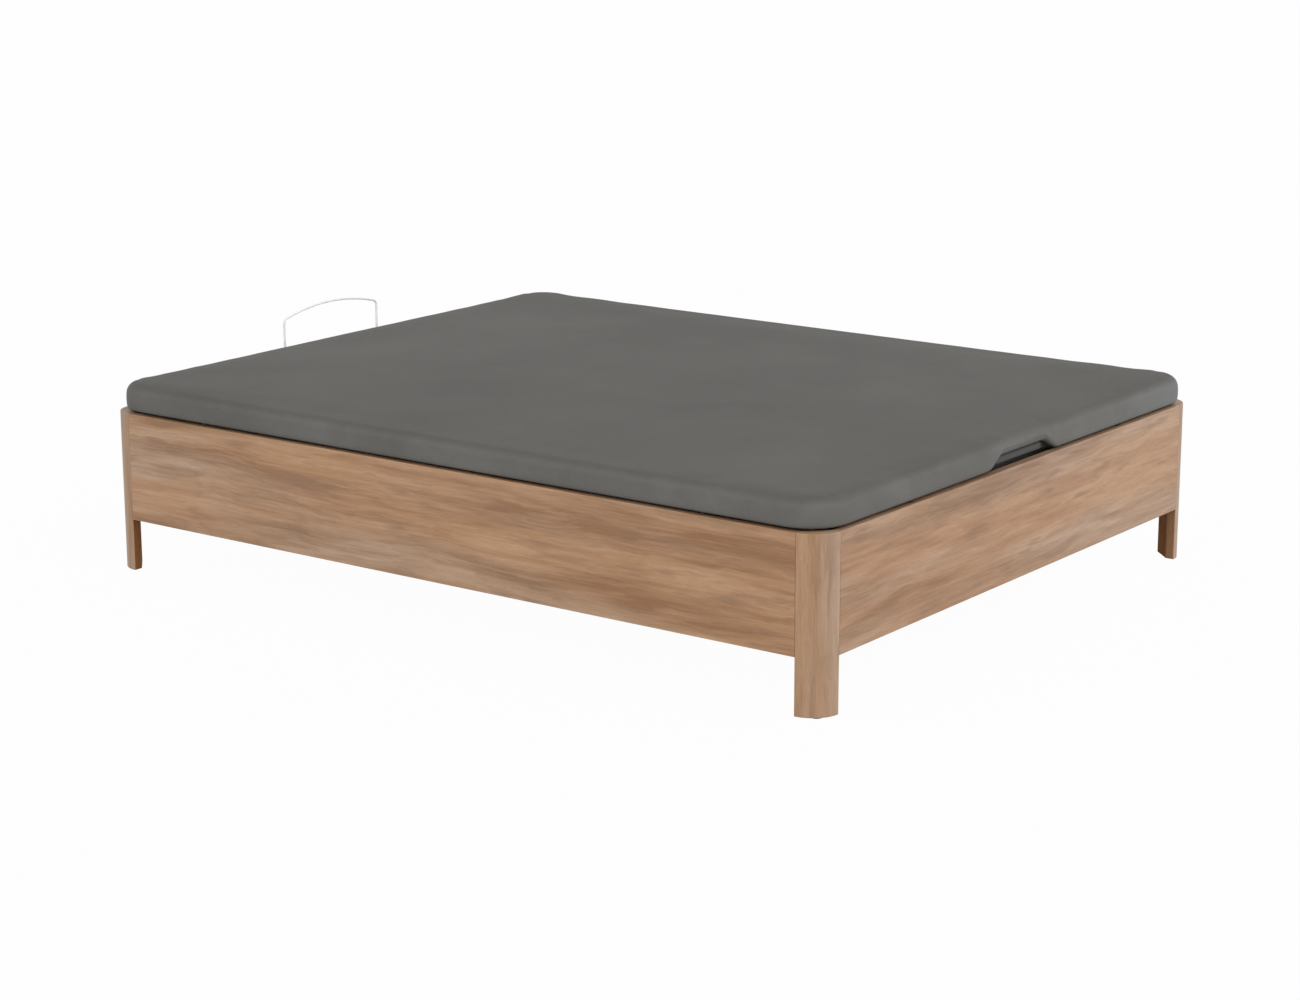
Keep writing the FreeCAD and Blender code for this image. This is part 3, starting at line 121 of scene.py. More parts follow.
class Graph:
    """The nodes of one material. Each method adds a node and returns its output."""

    def __init__(self, name, **constants):
        self.material = bpy.data.materials.new(name)
        self.material.use_nodes = True
        self.tree = self.material.node_tree
        self.shader = self.tree.nodes["Principled BSDF"]
        own = self.node("ShaderNodeTexCoord").outputs
        self.coordinates, self.facing = own["Object"], own["Normal"]
        for socket, value in constants.items():
            self.shader.inputs[socket.replace("_", " ")].default_value = value

    def node(self, kind, inputs=None, **settings):
        node = self.tree.nodes.new(kind)
        for name, value in settings.items():
            setattr(node, name, value)
        for key, value in (inputs or {}).items():
            if isinstance(value, bpy.types.NodeSocket):
                self.tree.links.new(value, node.inputs[key])
            else:
                node.inputs[key].default_value = value
        return node

    def out(self, socket, value):
        self.tree.links.new(value, self.shader.inputs[socket])

    def mapped(self, scale, offset=(0, 0, 0), vector=None):
        inputs = {"Vector": vector or self.coordinates, "Location": offset, "Scale": scale}
        return self.node("ShaderNodeMapping", inputs).outputs["Vector"]

    def noise(self, vector, scale=1.0, detail=FINE_DETAIL, roughness=0.5):
        inputs = {"Vector": vector, "Scale": scale, "Detail": detail, "Roughness": roughness}
        return self.node("ShaderNodeTexNoise", inputs).outputs["Fac"]

    def cells(self, vector, scale):
        return self.node("ShaderNodeTexVoronoi", {"Vector": vector, "Scale": scale}).outputs["Color"]

    def wave(self, vector, scale, direction):
        inputs = {"Vector": vector, "Scale": scale}
        return self.node("ShaderNodeTexWave", inputs, bands_direction=direction).outputs["Fac"]

    def math(self, operation, first, second=0.0):
        return self.node("ShaderNodeMath", {0: first, 1: second}, operation=operation).outputs[0]

    def spread(self, value, low, high, new_low=0.0, new_high=1.0):
        inputs = {"Value": value, "From Min": low, "From Max": high, "To Min": new_low,
                  "To Max": new_high}
        return self.node("ShaderNodeMapRange", inputs, clamp=True).outputs["Result"]

    def ramp(self, factor, *stops):
        node = self.node("ShaderNodeValToRGB", {"Fac": factor})
        elements = node.color_ramp.elements
        while len(elements) < len(stops):
            elements.new(0.5)
        for element, (position, colour) in zip(elements, stops):
            element.position = position
            element.color = linear(*colour)
        return node.outputs["Color"]

    def weighted(self, *parts):
        """Sum of values times their shares."""
        total = None
        for value, share in parts:
            part = self.math("MULTIPLY", value, share)
            total = part if total is None else self.math("ADD", total, part)
        return total

    def mix(self, factor, first, second, blend="MIX"):
        node = self.node("ShaderNodeMix", data_type="RGBA", blend_type=blend)
        factor_in, first_in, second_in = (node.inputs[place] for place in MIX_INPUTS)
        for socket, value in ((factor_in, factor), (first_in, first), (second_in, second)):
            if isinstance(value, bpy.types.NodeSocket):
                self.tree.links.new(value, socket)
            else:
                socket.default_value = value
        return node.outputs[MIX_OUTPUT]

    def bump(self, height, distance, strength=1.0, below=None):
        inputs = {"Height": height, "Distance": distance, "Strength": strength}
        if below is not None:
            inputs["Normal"] = below
        return self.node("ShaderNodeBump", inputs).outputs["Normal"]


def stretched(along, length_scale, cross_scale):
    """Texture scale with long features along one axis."""
    return tuple(length_scale if axis == along else cross_scale for axis in (X, Y, Z))


# Wood grain: features per metre along and across the grain, and detail, of each layer
SWAY_GRAIN, BAND_GRAIN, STREAK_GRAIN = (3.4, 7.0, 3.0), (1.2, 13, 3.0), (4.6, 50, 3.0)
LINE_GRAIN, HUE_GRAIN, FLECK_GRAIN = (5.0, 170, 2.0), (0.9, 8, 2.0), (7, 52, 2.0)
FIBRE_GRAIN, PORE_GRAIN = (16, 620, 2.0), (55, 1500, 1.0)
SWAY_REACH = 20 * MM
HUE_OFFSET = (3.1, 1.7, 5.3)
BAND_SHARE, STREAK_SHARE, LINE_SHARE = 0.5, 0.3, 0.2
GRAIN_STOPS = (0.38, 0.5, 0.62)
WARMTH_TONES = ((255, 240, 222), (255, 249, 241), (253, 253, 255))
FLECK_RANGE, FLECK_DEPTH = (0.58, 0.74), 0.75
FIBRE_STOPS, FIBRE_TONES, FIBRE_DEPTH = (0.3, 0.62), ((232, 228, 222), WHITE), 0.6
PORE_RANGE, PORE_DEPTH = (0.62, 0.72), 0.35
FIBRE_BUMP, PORE_BUMP = (0.1 * MM, 0.5), (0.08 * MM, 0.3)
WOOD_ROUGHNESS, RAW_ROUGHNESS = 0.42, 0.55
ROUGHER, SMOOTHER = 0.07, 0.05
WOOD_GLOSS, POST_GLOSS = 0.35, 0.15

# Tones of the wood, dark, middle and light
SIDE_TONES = ((150, 117, 90), (177, 145, 118), (194, 164, 139))
END_TONES = ((143, 112, 87), (168, 137, 112), (186, 157, 133))
POST_TONES = ((160, 132, 108), (177, 150, 128), (188, 163, 142))
PINE_TONES = ((186, 146, 96), (208, 172, 122), (222, 190, 144))
BEECH_TONES = ((188, 148, 108), (204, 166, 126), (216, 180, 142))
PINE_FIGURE, BEECH_FIGURE, POST_FIGURE = 0.6, 1.5, 1.3
SIDE_OFFSET, END_OFFSET, POST_OFFSET = (0, 0.4, 0.13), (1.7, 0, 0.31), (0.2, 0.5, 0.9)

# Posts: painted shade makes the legs darker where they look inwards, below the boards, and they are
# duller there; painted shade also makes the outermost ridge slightly darker
LEG_INSIDE_SHADE_TONE = (206, 168, 124)
RIDGE_SHADE_TONE = (243, 243, 243)
INSIDE_SHADE_RANGE, RIDGE_SHADE_RANGE, DULL_RANGE = (0.25, 0.7), (-0.8, -0.97), (0.0, 0.5)
DULL_ROUGHNESS = 0.95
LEG_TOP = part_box("side_board_left")[0].z
LEG_FADE = 40 * MM


def grain(graph, along, layer, vector, figure=1.0, offset=(0, 0, 0)):
    """Noise drawn out along one axis."""
    length_scale, cross_scale, detail = layer
    scale = stretched(along, length_scale, cross_scale * figure)
    return graph.noise(graph.mapped(scale, offset, vector), detail=detail)


def wood(name, along, tones, figure=1.0, offset=(0, 0, 0), roughness=WOOD_ROUGHNESS, gloss=WOOD_GLOSS,
         direction=1, post=False):
    """Wood with its grain along one axis: broad bands, streaks, fine lines, fibres and pores.
    figure narrows the figure across the grain, and direction -1 mirrors it along X."""
    graph = Graph(name, Specular_IOR_Level=gloss)
    dark = linear(*tones[0])
    place = graph.mapped((direction, 1, 1), offset)
    drift = graph.spread(grain(graph, along, SWAY_GRAIN, place), 0, 1, -SWAY_REACH, SWAY_REACH)
    shift = graph.node("ShaderNodeCombineXYZ", {axis: drift for axis in (X, Y, Z)}).outputs[0]
    sway = graph.node("ShaderNodeVectorMath", {0: shift, 1: place}, operation="ADD").outputs[0]
    bands = grain(graph, along, BAND_GRAIN, sway, figure)
    streaks = grain(graph, along, STREAK_GRAIN, sway, figure)
    lines = grain(graph, along, LINE_GRAIN, sway, figure)
    hue = grain(graph, along, HUE_GRAIN, sway, figure, HUE_OFFSET)
    flecks = grain(graph, along, FLECK_GRAIN, place, figure)
    fibres = grain(graph, along, FIBRE_GRAIN, sway)
    pores = grain(graph, along, PORE_GRAIN, sway)

    tone = graph.weighted((bands, BAND_SHARE), (streaks, STREAK_SHARE), (lines, LINE_SHARE))
    colour = graph.ramp(tone, *zip(GRAIN_STOPS, tones))
    colour = graph.mix(1.0, colour, graph.ramp(hue, *zip(GRAIN_STOPS, WARMTH_TONES)), "MULTIPLY")
    colour = graph.mix(graph.spread(flecks, *FLECK_RANGE, 0.0, FLECK_DEPTH), colour, dark)
    fibre_tone = graph.ramp(fibres, *zip(FIBRE_STOPS, FIBRE_TONES))
    colour = graph.mix(FIBRE_DEPTH, colour, fibre_tone, "MULTIPLY")
    colour = graph.mix(graph.spread(pores, *PORE_RANGE, 0.0, PORE_DEPTH), colour, dark)
    shine = graph.spread(streaks, *MIDDLE_RANGE, roughness + ROUGHER, roughness - SMOOTHER)
    if post:
        turned = facing_middle(graph)
        height = graph.node("ShaderNodeSeparateXYZ", {0: graph.coordinates}).outputs["Z"]
        # Painted shade: the legs' inward faces are darkened, fading out just above the boards' lower
        # edge
        hidden = graph.math("MULTIPLY", graph.spread(turned, *INSIDE_SHADE_RANGE),
                            graph.spread(height, LEG_TOP + LEG_FADE, LEG_TOP))
        colour = graph.mix(hidden, colour, linear(*LEG_INSIDE_SHADE_TONE), "MULTIPLY")
        # Painted shade: slightly darker where the rounded post turns furthest away from the middle
        colour = graph.mix(graph.spread(turned, *RIDGE_SHADE_RANGE), colour, linear(*RIDGE_SHADE_TONE), "MULTIPLY")
        shine = graph.math("MAXIMUM", shine, graph.spread(turned, *DULL_RANGE, 0.0, DULL_ROUGHNESS))
    graph.out("Base Color", colour)
    graph.out("Roughness", shine)
    graph.out("Normal", graph.bump(fibres, *FIBRE_BUMP, graph.bump(pores, *PORE_BUMP)))
    return graph.material


def facing_middle(graph):
    """1 where a face looks at the vertical line through the object's middle, -1 where it looks away."""
    flat = graph.mapped((-1, -1, 0))
    inward = graph.node("ShaderNodeVectorMath", {0: flat}, operation="NORMALIZE").outputs[0]
    pair = {0: inward, 1: graph.facing}
    return graph.node("ShaderNodeVectorMath", pair, operation="DOT_PRODUCT").outputs["Value"]


def pine(name, along):
    """Raw pine of the ledgers and beams under the floor."""
    return wood(name, along, PINE_TONES, PINE_FIGURE, roughness=RAW_ROUGHNESS)


# Pressed boards, metals, paints and plastics: scale and detail of each layer, and what it changes
WOBBLE_NOISE, WOBBLE_SHARE = (90.0, 2.0), 0.02
FLAKE_STOPS = (0.0, 0.45, 1.0)
DUST_NOISE, DUST_STOPS, DUST_DEPTH = (900.0, 3.0), (0.3, 0.65), 0.5
DUST_TONES = ((205, 200, 192), WHITE)
DUST_BUMP, DUST_SMOOTHER, DUST_ROUGHER = (0.15 * MM, 0.6), 0.08, 0.1
METAL_CLOUDS = (1 / (24 * MM), 4.0, 0.6)
METAL_DARKER, METAL_ROUGHER, METAL_SMOOTHER = 0.86, 0.08, 0.06
SCRATCH_SCALE, SCRATCH_BUMP = (2500, 180, 180), (0.02 * MM, 0.4)
PATCH_NOISE, COAT_SMOOTHER, COAT_ROUGHER = (14.0, 3.0), 0.05, 0.07
PEEL_SIZE, PEEL_BUMP = 1.6 * MM, (0.05 * MM, 0.7)
COAT_WEAR = 0.06


def chipboard(name, tones, flake, roughness):
    """Pressed wood flakes of several tones."""
    graph = Graph(name, Specular_IOR_Level=0.3)
    wobble = graph.noise(graph.coordinates, *WOBBLE_NOISE)
    place = graph.mix(WOBBLE_SHARE, graph.coordinates, wobble, "ADD")
    flakes = graph.node("ShaderNodeSeparateColor", {"Color": graph.cells(place, 1 / flake)}).outputs[0]
    dust = graph.noise(graph.coordinates, *DUST_NOISE)
    colour = graph.ramp(flakes, *zip(FLAKE_STOPS, tones))
    colour = graph.mix(DUST_DEPTH, colour, graph.ramp(dust, *zip(DUST_STOPS, DUST_TONES)), "MULTIPLY")
    graph.out("Base Color", colour)
    graph.out("Roughness", graph.spread(dust, *MIDDLE_RANGE, roughness - DUST_SMOOTHER,
                                        roughness + DUST_ROUGHER))
    graph.out("Normal", graph.bump(dust, *DUST_BUMP))
    return graph.material


def metal(name, tone, roughness):
    """Bare or plated metal with a cloudy surface and fine scratches."""
    graph = Graph(name, Metallic=1.0)
    clouds = graph.noise(graph.coordinates, *METAL_CLOUDS)
    scratches = graph.noise(graph.mapped(SCRATCH_SCALE))
    darker = tuple(METAL_DARKER * value for value in tone)
    graph.out("Base Color", graph.ramp(clouds, *zip(MIDDLE_RANGE, (darker, tone))))
    graph.out("Roughness", graph.spread(clouds, *MIDDLE_RANGE, roughness + METAL_ROUGHER,
                                        roughness - METAL_SMOOTHER))
    graph.out("Normal", graph.bump(scratches, *SCRATCH_BUMP))
    return graph.material


def coated(name, tone, roughness, peel_size=PEEL_SIZE, wear=COAT_WEAR):
    """Paint, plastic or rubber with a fine moulded or sprayed texture."""
    graph = Graph(name, Specular_IOR_Level=0.4)
    peel = graph.noise(graph.coordinates, 1 / peel_size)
    patches = graph.noise(graph.coordinates, *PATCH_NOISE)
    darker = tuple((1 - 2 * wear) * value for value in tone)
    graph.out("Base Color", graph.ramp(patches, *zip(MIDDLE_RANGE, (darker, tone))))
    graph.out("Roughness", graph.spread(patches, *MIDDLE_RANGE, roughness - COAT_SMOOTHER,
                                        roughness + COAT_ROUGHER))
    graph.out("Normal", graph.bump(peel, *PEEL_BUMP))
    return graph.material


# Cloth of the lid: tones of its top and its border, the border painted lighter than the top as painted
# light; where it is stretched, with painted light on the border towards the right side; and inside the
# hand notch, with painted shade on the notch's sloped ends
TOP_TONES = ((88, 85, 80), (93, 90, 85), (98, 95, 90))
# Painted light: the border's tones are lighter than the top's
LIT_BORDER_TONES = ((98, 96, 92), (106, 104, 100), (114, 113, 110))
STRETCHED_AND_LIT_TONE = (128, 130, 131)
LINING_TONE = (88, 88, 87)
# Painted shade, nearly black, on the hand notch's sloped ends
SHADE_TONE = (12, 12, 12)
SHEEN_TINT = (215, 218, 224)
CLOTH_STOPS = (0.36, 0.5, 0.64)
CLOUD_NOISE, CLOUD_SHARE, SLUB_SHARE = (2.2, 4.0, 0.6), 0.7, 0.15
LIT_BORDER_RANGE = (0.99, 0.5)
STRETCH_NOISE, STRETCH_RANGE, STRETCH_DEPTH = (7.0, 2.0), (0.5, 0.75), 0.25
# Painted light: the border grows lighter towards the right side of the lid, across this range of X
RIGHT_SIDE_LIGHT_RANGE, RIGHT_SIDE_LIGHT_DEPTH = (0.3, 0.75), 0.6
THREAD_STOPS, THREAD_TONES, THREAD_DEPTH = (0.1, 0.6), ((222, 222, 222), WHITE), 0.7
THREAD_PAIR = 2.4 * MM
SLUB_LONG, SLUB_SHORT = 40, 900
SLUB_RANGE, SLUB_ROUGHNESS = (0.7, 1.3), (0.93, 0.8)
WEAVE_BUMP, SLUB_BUMP = (0.25 * MM, 0.5), (0.12 * MM, 0.4)
WAVE_LENGTH_AT_SCALE_ONE = math.tau / 20
WEAVE_MAP = "weave"
LINING_AND_SHADE_MAP = "lining"


def upholstery_cloth():
    """Tight woven grey cloth: crossing threads, slubs, soft unevenness and a light sheen."""
    graph = Graph("grey_cloth", Sheen_Weight=0.1, Sheen_Roughness=0.45, Specular_IOR_Level=0.2,
                  Sheen_Tint=linear(*SHEEN_TINT))
    flat = graph.node("ShaderNodeUVMap", uv_map=WEAVE_MAP).outputs["UV"]
    scale = WAVE_LENGTH_AT_SCALE_ONE / THREAD_PAIR
    weft = graph.wave(flat, scale, "X")
    warp = graph.wave(flat, scale, "Y")
    weave = graph.math("ADD", graph.math("MULTIPLY", weft, warp),
                       graph.math("MULTIPLY", graph.math("SUBTRACT", 1.0, weft),
                                  graph.math("SUBTRACT", 1.0, warp)))
    slubs = graph.math("ADD", graph.noise(graph.mapped((SLUB_LONG, SLUB_SHORT, 1), vector=flat)),
                       graph.noise(graph.mapped((SLUB_SHORT, SLUB_LONG, 1), vector=flat)))
    clouds = graph.noise(graph.coordinates, *CLOUD_NOISE)
    tone = graph.weighted((clouds, CLOUD_SHARE), (slubs, SLUB_SHARE))

    # Painted light: faces that turn upright take the border's lighter tones instead of the top's
    upright = graph.node("ShaderNodeSeparateXYZ", {0: graph.facing}).outputs["Z"]
    lit_border_share = graph.spread(graph.math("ABSOLUTE", upright), *LIT_BORDER_RANGE)
    colour = graph.mix(lit_border_share, graph.ramp(tone, *zip(CLOTH_STOPS, TOP_TONES)),
                       graph.ramp(tone, *zip(CLOTH_STOPS, LIT_BORDER_TONES)))
    stretch_and_light = graph.noise(graph.coordinates, *STRETCH_NOISE)
    stretch_and_light = graph.spread(stretch_and_light, *STRETCH_RANGE, 0.0, STRETCH_DEPTH)
    # The stretched patches above are the cloth's own; the rise towards the right side added here is
    # painted light
    across = graph.node("ShaderNodeSeparateXYZ", {0: graph.coordinates}).outputs["X"]
    stretch_and_light = graph.math("ADD", stretch_and_light, graph.spread(across, *RIGHT_SIDE_LIGHT_RANGE, 0.0, RIGHT_SIDE_LIGHT_DEPTH))
    colour = graph.mix(graph.math("MULTIPLY", lit_border_share, stretch_and_light), colour, linear(*STRETCHED_AND_LIT_TONE))
    lining = graph.node("ShaderNodeUVMap", uv_map=LINING_AND_SHADE_MAP).outputs["UV"]
    lined_and_shaded = graph.node("ShaderNodeSeparateXYZ", {0: lining}).outputs
    colour = graph.mix(lined_and_shaded["X"], colour, linear(*LINING_TONE))
    # Painted shade: the notch's sloped ends turn nearly black
    colour = graph.mix(lined_and_shaded["Y"], colour, linear(*SHADE_TONE))
    thread = graph.ramp(weave, *zip(THREAD_STOPS, THREAD_TONES))
    graph.out("Base Color", graph.mix(THREAD_DEPTH, colour, thread, "MULTIPLY"))
    graph.out("Roughness", graph.spread(slubs, *SLUB_RANGE, *SLUB_ROUGHNESS))
    graph.out("Normal", graph.bump(weave, *WEAVE_BUMP, graph.bump(slubs, *SLUB_BUMP)))
    return graph.material


# The lid's upholstery is one closed form: rings of a profile round the rounded outline, a gridded
# top, and an underside that is turned in round the lid board's edge.

HALF = Vector(((COVER_HIGH.x - COVER_LOW.x) / 2, (COVER_HIGH.y - COVER_LOW.y) / 2))
CENTRE = Vector(((COVER_HIGH.x + COVER_LOW.x) / 2, (COVER_HIGH.y + COVER_LOW.y) / 2))
BOARD_INSET = BOARD_LOW.x - COVER_LOW.x
SIDES = [(Vector((1, 0)), Vector((0, -1))), (Vector((0, 1)), Vector((1, 0))),
         (Vector((-1, 0)), Vector((0, 1))), (Vector((0, -1)), Vector((-1, 0)))]
FOOT_SIDE, HEAD_SIDE = 0, 2
HALF_CORNER = 45

# Rings of the profile: top, upper rounding, side, lower rounding, ceiling, back wall and turned-in edge
RIM_SHARES = (1.0, 0.66)
TOP_ARC = (90, 75, 60, 45, 30, 15, 0)
SIDE_SHARES = (0.35, 0.7, 1.0)
LOW_ARC = (30, 60, 90)
CEILING_SHARES = (0.2, 0.45, 0.7, 0.88)
WALL_STEPS = ((2.6 * MM, 0.1), (1.6 * MM, 0.35), (0.8 * MM, 0.7), (0, 1))
LIP_INSET, LIP_RISE = 0.5 * MM, 1 * MM
LOW_RING = len(RIM_SHARES) + len(TOP_ARC) + len(SIDE_SHARES)
LINED_RING = LOW_RING + len(LOW_ARC)
HELD_RINGS = 3
HINGE_REACH = 1.5 * HINGE_MARGIN
# Inset and rise of the rings, in mm, where the cloth is tucked in over a hinge leaf
HINGE_TUCK = ((0.8, 3.0), (2.1, 1.6), (3.0, 1.2), (3.2, 1.7), (3.4, 2.2), (3.6, 2.7), (3.8, 3.1),
              (4.6, 3.3), (6, 3.3), (8, 3.3), (10, 3.3), (12, 3.3), (13.5, 3.3), (15, 3.3), (16.5, 3.3))
NOTCH_WIDE = NOTCH_HIGH.x - RAMP_CLEAR * math.hypot(1, NOTCH_SLOPE)
NOTCH_CEILING = NOTCH_HIGH.z - CLOTH
NOTCH_WALL = NOTCH_HIGH.y - CLOTH - COVER_LOW.y
NOTCH_SIDE_RUN = NOTCH_SLOPE * (NOTCH_CEILING - COVER_LOW.z)


def run_marks(half, marks):
    """Places along a straight side: the marks, with steps between them, finer near the middle."""
    stops = sorted({-half, half, *marks})
    places = []
    for start, end in zip(stops, stops[1:]):
        inner = max(abs(start), abs(end)) <= NOTCH_WIDE + NOTCH_FADE
        steps = max(1, round((end - start) / (FINE_STEP if inner else COARSE_STEP)))
        places += [start + (end - start) * step / steps for step in range(steps)]
    return places + [half]


def cross_marks():
    """Marks across the bed: the notch's corners and the hinges' edges."""
    notch = [NOTCH_WIDE - NOTCH_SIDE_RUN, NOTCH_WIDE, NOTCH_WIDE + NOTCH_FADE]
    marks = notch + [-mark for mark in notch]
    for low, high in HINGE_LEAVES:
        marks += [low.x - HINGE_MARGIN - HINGE_FADE, low.x - HINGE_MARGIN, high.x + HINGE_MARGIN,
                  high.x + HINGE_MARGIN + HINGE_FADE]
    return [round(mark, 5) for mark in marks]


def stations():
    """Round the outline: side, place along it, centre of rounding and outward direction."""
    found = []
    for side, (along, outward) in enumerate(SIDES):
        half = abs(HALF.dot(along)) - LID_CORNER
        depth = abs(HALF.dot(outward)) - LID_CORNER
        places = run_marks(half, cross_marks() if side in (FOOT_SIDE, HEAD_SIDE) else [])

        def corner(place, degrees):
            angle = math.radians(degrees)
            direction = outward * math.cos(angle) + along * math.sin(angle)
            found.append((side, place, CENTRE + along * place + outward * depth, direction))

        turn = HALF_CORNER / CORNER_STEPS
        for step in range(CORNER_STEPS):
            corner(-half, -HALF_CORNER + turn * step)
        for place in places:
            corner(place, 0)
        for step in range(1, CORNER_STEPS):
            corner(half, turn * step)
    return found


def arc(radius, degrees):
    """Inset and height gained on a quarter round, from its outermost point upwards."""
    angle = math.radians(degrees)
    return radius * (1 - math.cos(angle)), radius * math.sin(angle)


def profile(low, wall, window, low_round):
    """Inset and height of each ring, from the top's rim down the edge and in round the board.
    low is the height of the lower edge, low_round its rounding, wall the inset of a notch's back
    wall, and window is true where a hinge leaf takes the place of the turned-in cloth."""
    top, under = COVER_HIGH.z, COVER_LOW.z
    rings = [(TOP_RIM * share, top) for share in RIM_SHARES]
    for degrees in TOP_ARC:
        inset, rise = arc(TOP_ROUND, degrees)
        rings.append((inset, top - TOP_ROUND + rise))
    side_top, side_low = top - TOP_ROUND, low + low_round
    rings += [(0, side_top + (side_low - side_top) * share) for share in SIDE_SHARES]
    for degrees in LOW_ARC:
        inset, drop = arc(low_round, degrees)
        rings.append((inset, side_low - drop))
    rings += [(low_round + (wall - low_round) * share, low) for share in CEILING_SHARES]
    rings += [(wall - lean, low - (low - under) * share) for lean, share in WALL_STEPS]
    lip = wall + LIP_INSET
    ceiling = BOARD_LOW.z - PLAY
    edge = BOARD_INSET - PLAY
    deep = BOARD_HIGH.z + PLAY
    rings += [(lip, under + LIP_RISE), (lip, ceiling), ((lip + edge) / 2, ceiling), (edge, ceiling),
              (edge, (ceiling + deep) / 2), (edge, deep), (BOARD_INSET + 2 * LOW_ROUND, deep)]
    if window:
        for ring, (inset, rise) in enumerate(HINGE_TUCK, LOW_RING):
            rings[ring] = (inset * MM, under + rise * MM)
    return rings


def smooth(share):
    """A ramp from 0 to 1 with level ends."""
    share = min(max(share, 0.0), 1.0)
    return share * share * (3 - 2 * share)


def eased(share):
    """A nearly straight ramp from 0 to 1 with softened ends."""
    share = min(max(share, 0.0), 1.0)
    return share - RAMP_SOFTNESS * math.sin(math.tau * share) / math.tau


def station_profile(side, place):
    """The profile at a place along a side, with the hand notch and the hinges' windows."""
    low, wall, window, low_round = COVER_LOW.z, CLOTH_RETURN, False, LOW_ROUND
    if side == FOOT_SIDE:
        reach = abs(place)
        lift = eased((NOTCH_WIDE - reach) / NOTCH_SIDE_RUN)
        low += (NOTCH_CEILING - COVER_LOW.z) * lift
        low_round += (NOTCH_ROUND - LOW_ROUND) * lift
        wall += (NOTCH_WALL - CLOTH_RETURN) * smooth((NOTCH_WIDE + NOTCH_FADE - reach) / NOTCH_FADE)
    if side == HEAD_SIDE:
        window = any(box_low.x - HINGE_REACH < -place < box_high.x + HINGE_REACH
                     for box_low, box_high in HINGE_LEAVES)
    return profile(low, wall, window, low_round)


def coons(rows, columns, edge):
    """Grid of points inside a closed edge whose four sides have columns and rows steps."""
    foot = edge[:columns + 1]
    right = edge[columns:columns + rows + 1]
    head = edge[columns + rows:2 * columns + rows + 1][::-1]
    left = np.vstack([edge[2 * columns + rows:], edge[:1]])[::-1]
    u = np.interp(foot[:, 0], (foot[0, 0], foot[-1, 0]), (0, 1))[None, :, None]
    v = np.interp(right[:, 1], (right[0, 1], right[-1, 1]), (0, 1))[:, None, None]
    across = (1 - v) * foot[None] + v * head[None]
    lengthwise = (1 - u) * left[:, None] + u * right[:, None]
    corners = ((1 - u) * (1 - v) * foot[0] + u * (1 - v) * foot[-1] + (1 - u) * v * head[0]
               + u * v * head[-1])
    return across + lengthwise - corners


def lid_upholstery():
    """The cloth's mesh with its flat cut as one UV map, and as another the notch's inner cloth and its
    sloped ends, which take painted shade.
    """
    found = stations()
    count = len(found)
    rings, flat, lined_and_shaded = [], [], []
    for side, place, centre, outward in found:
        points = station_profile(side, place)
        in_notch = side == FOOT_SIDE and abs(place) < NOTCH_WIDE
        on_ramp = in_notch and abs(place) > NOTCH_WIDE - NOTCH_SIDE_RUN
        # The second value marks the notch's sloped ends for painted shade
        lined_and_shaded.append([(float(in_notch and ring >= LINED_RING),
                       float(on_ramp and ring >= LINED_RING - 1)) for ring in range(len(points))])
        column, flat_column, travelled, before = [], [], 0.0, points[0]
        for inset, height in points:
            column.append((*(centre + outward * (LID_CORNER - inset)), height))
            travelled += math.dist(before, (inset, height))
            flat_column.append(centre + outward * (LID_CORNER - TOP_RIM + travelled))
            before = (inset, height)
        rings.append(column)
        flat.append(flat_column)
    rings = np.array(rings).transpose(1, 0, 2)
    flat = np.array([[tuple(spot) for spot in column] for column in flat]).transpose(1, 0, 2)
    ring_count = len(rings)

    columns = sum(1 for side, *_ in found if side == FOOT_SIDE)
    rows = sum(1 for side, *_ in found if side == FOOT_SIDE + 1)
    grid = coons(rows, columns, rings[0])
    points = [tuple(point) for point in rings.reshape(-1, 3)]
    flat_points = [tuple(point) for point in flat.reshape(-1, 2)]
    lined_points = [tuple(pair) for pair in np.array(lined_and_shaded).transpose(1, 0, 2).reshape(-1, 2)]
    faces = []
    for ring in range(ring_count - 1):
        for station in range(count):
            after = (station + 1) % count
            faces.append((ring * count + station, (ring + 1) * count + station,
                          (ring + 1) * count + after, ring * count + after))

    index = np.zeros((rows + 1, columns + 1), int)
    index[0, :] = np.arange(columns + 1)
    index[:, -1] = columns + np.arange(rows + 1)
    index[-1, ::-1] = columns + rows + np.arange(columns + 1)
    index[::-1, 0] = (2 * columns + rows + np.arange(rows + 1)) % count
    for row in range(1, rows):
        for column in range(1, columns):
            index[row, column] = len(points)
            points.append(tuple(grid[row, column]))
            flat_points.append(tuple(grid[row, column][:2]))
            lined_points.append((0.0, 0.0))
    for row in range(rows):
        for column in range(columns):
            faces.append((index[row, column], index[row, column + 1], index[row + 1, column + 1],
                          index[row + 1, column]))

    mesh = bpy.data.meshes.new("lid_upholstery")
    mesh.from_pydata(points, [], [tuple(int(corner) for corner in face) for face in faces])
    mesh.validate()
    weave = mesh.uv_layers.new(name=WEAVE_MAP)
    lining = mesh.uv_layers.new(name=LINING_AND_SHADE_MAP)
    for loop in mesh.loops:
        weave.data[loop.index].uv = flat_points[loop.vertex_index]
        lining.data[loop.index].uv = lined_points[loop.vertex_index]
    mesh.polygons.foreach_set("use_smooth", [True] * len(mesh.polygons))
    cushion = bpy.data.objects.new("lid_upholstery", mesh)
    bpy.context.scene.collection.objects.link(cushion)

    held = cushion.vertex_groups.new(name="held")
    for ring in range(ring_count):
        weight = min(max((ring - LOW_RING + 1 + HELD_RINGS) / HELD_RINGS, 0.0), 1.0)
        if weight:
            held.add(list(range(ring * count, (ring + 1) * count)), weight, "REPLACE")
    return cushion


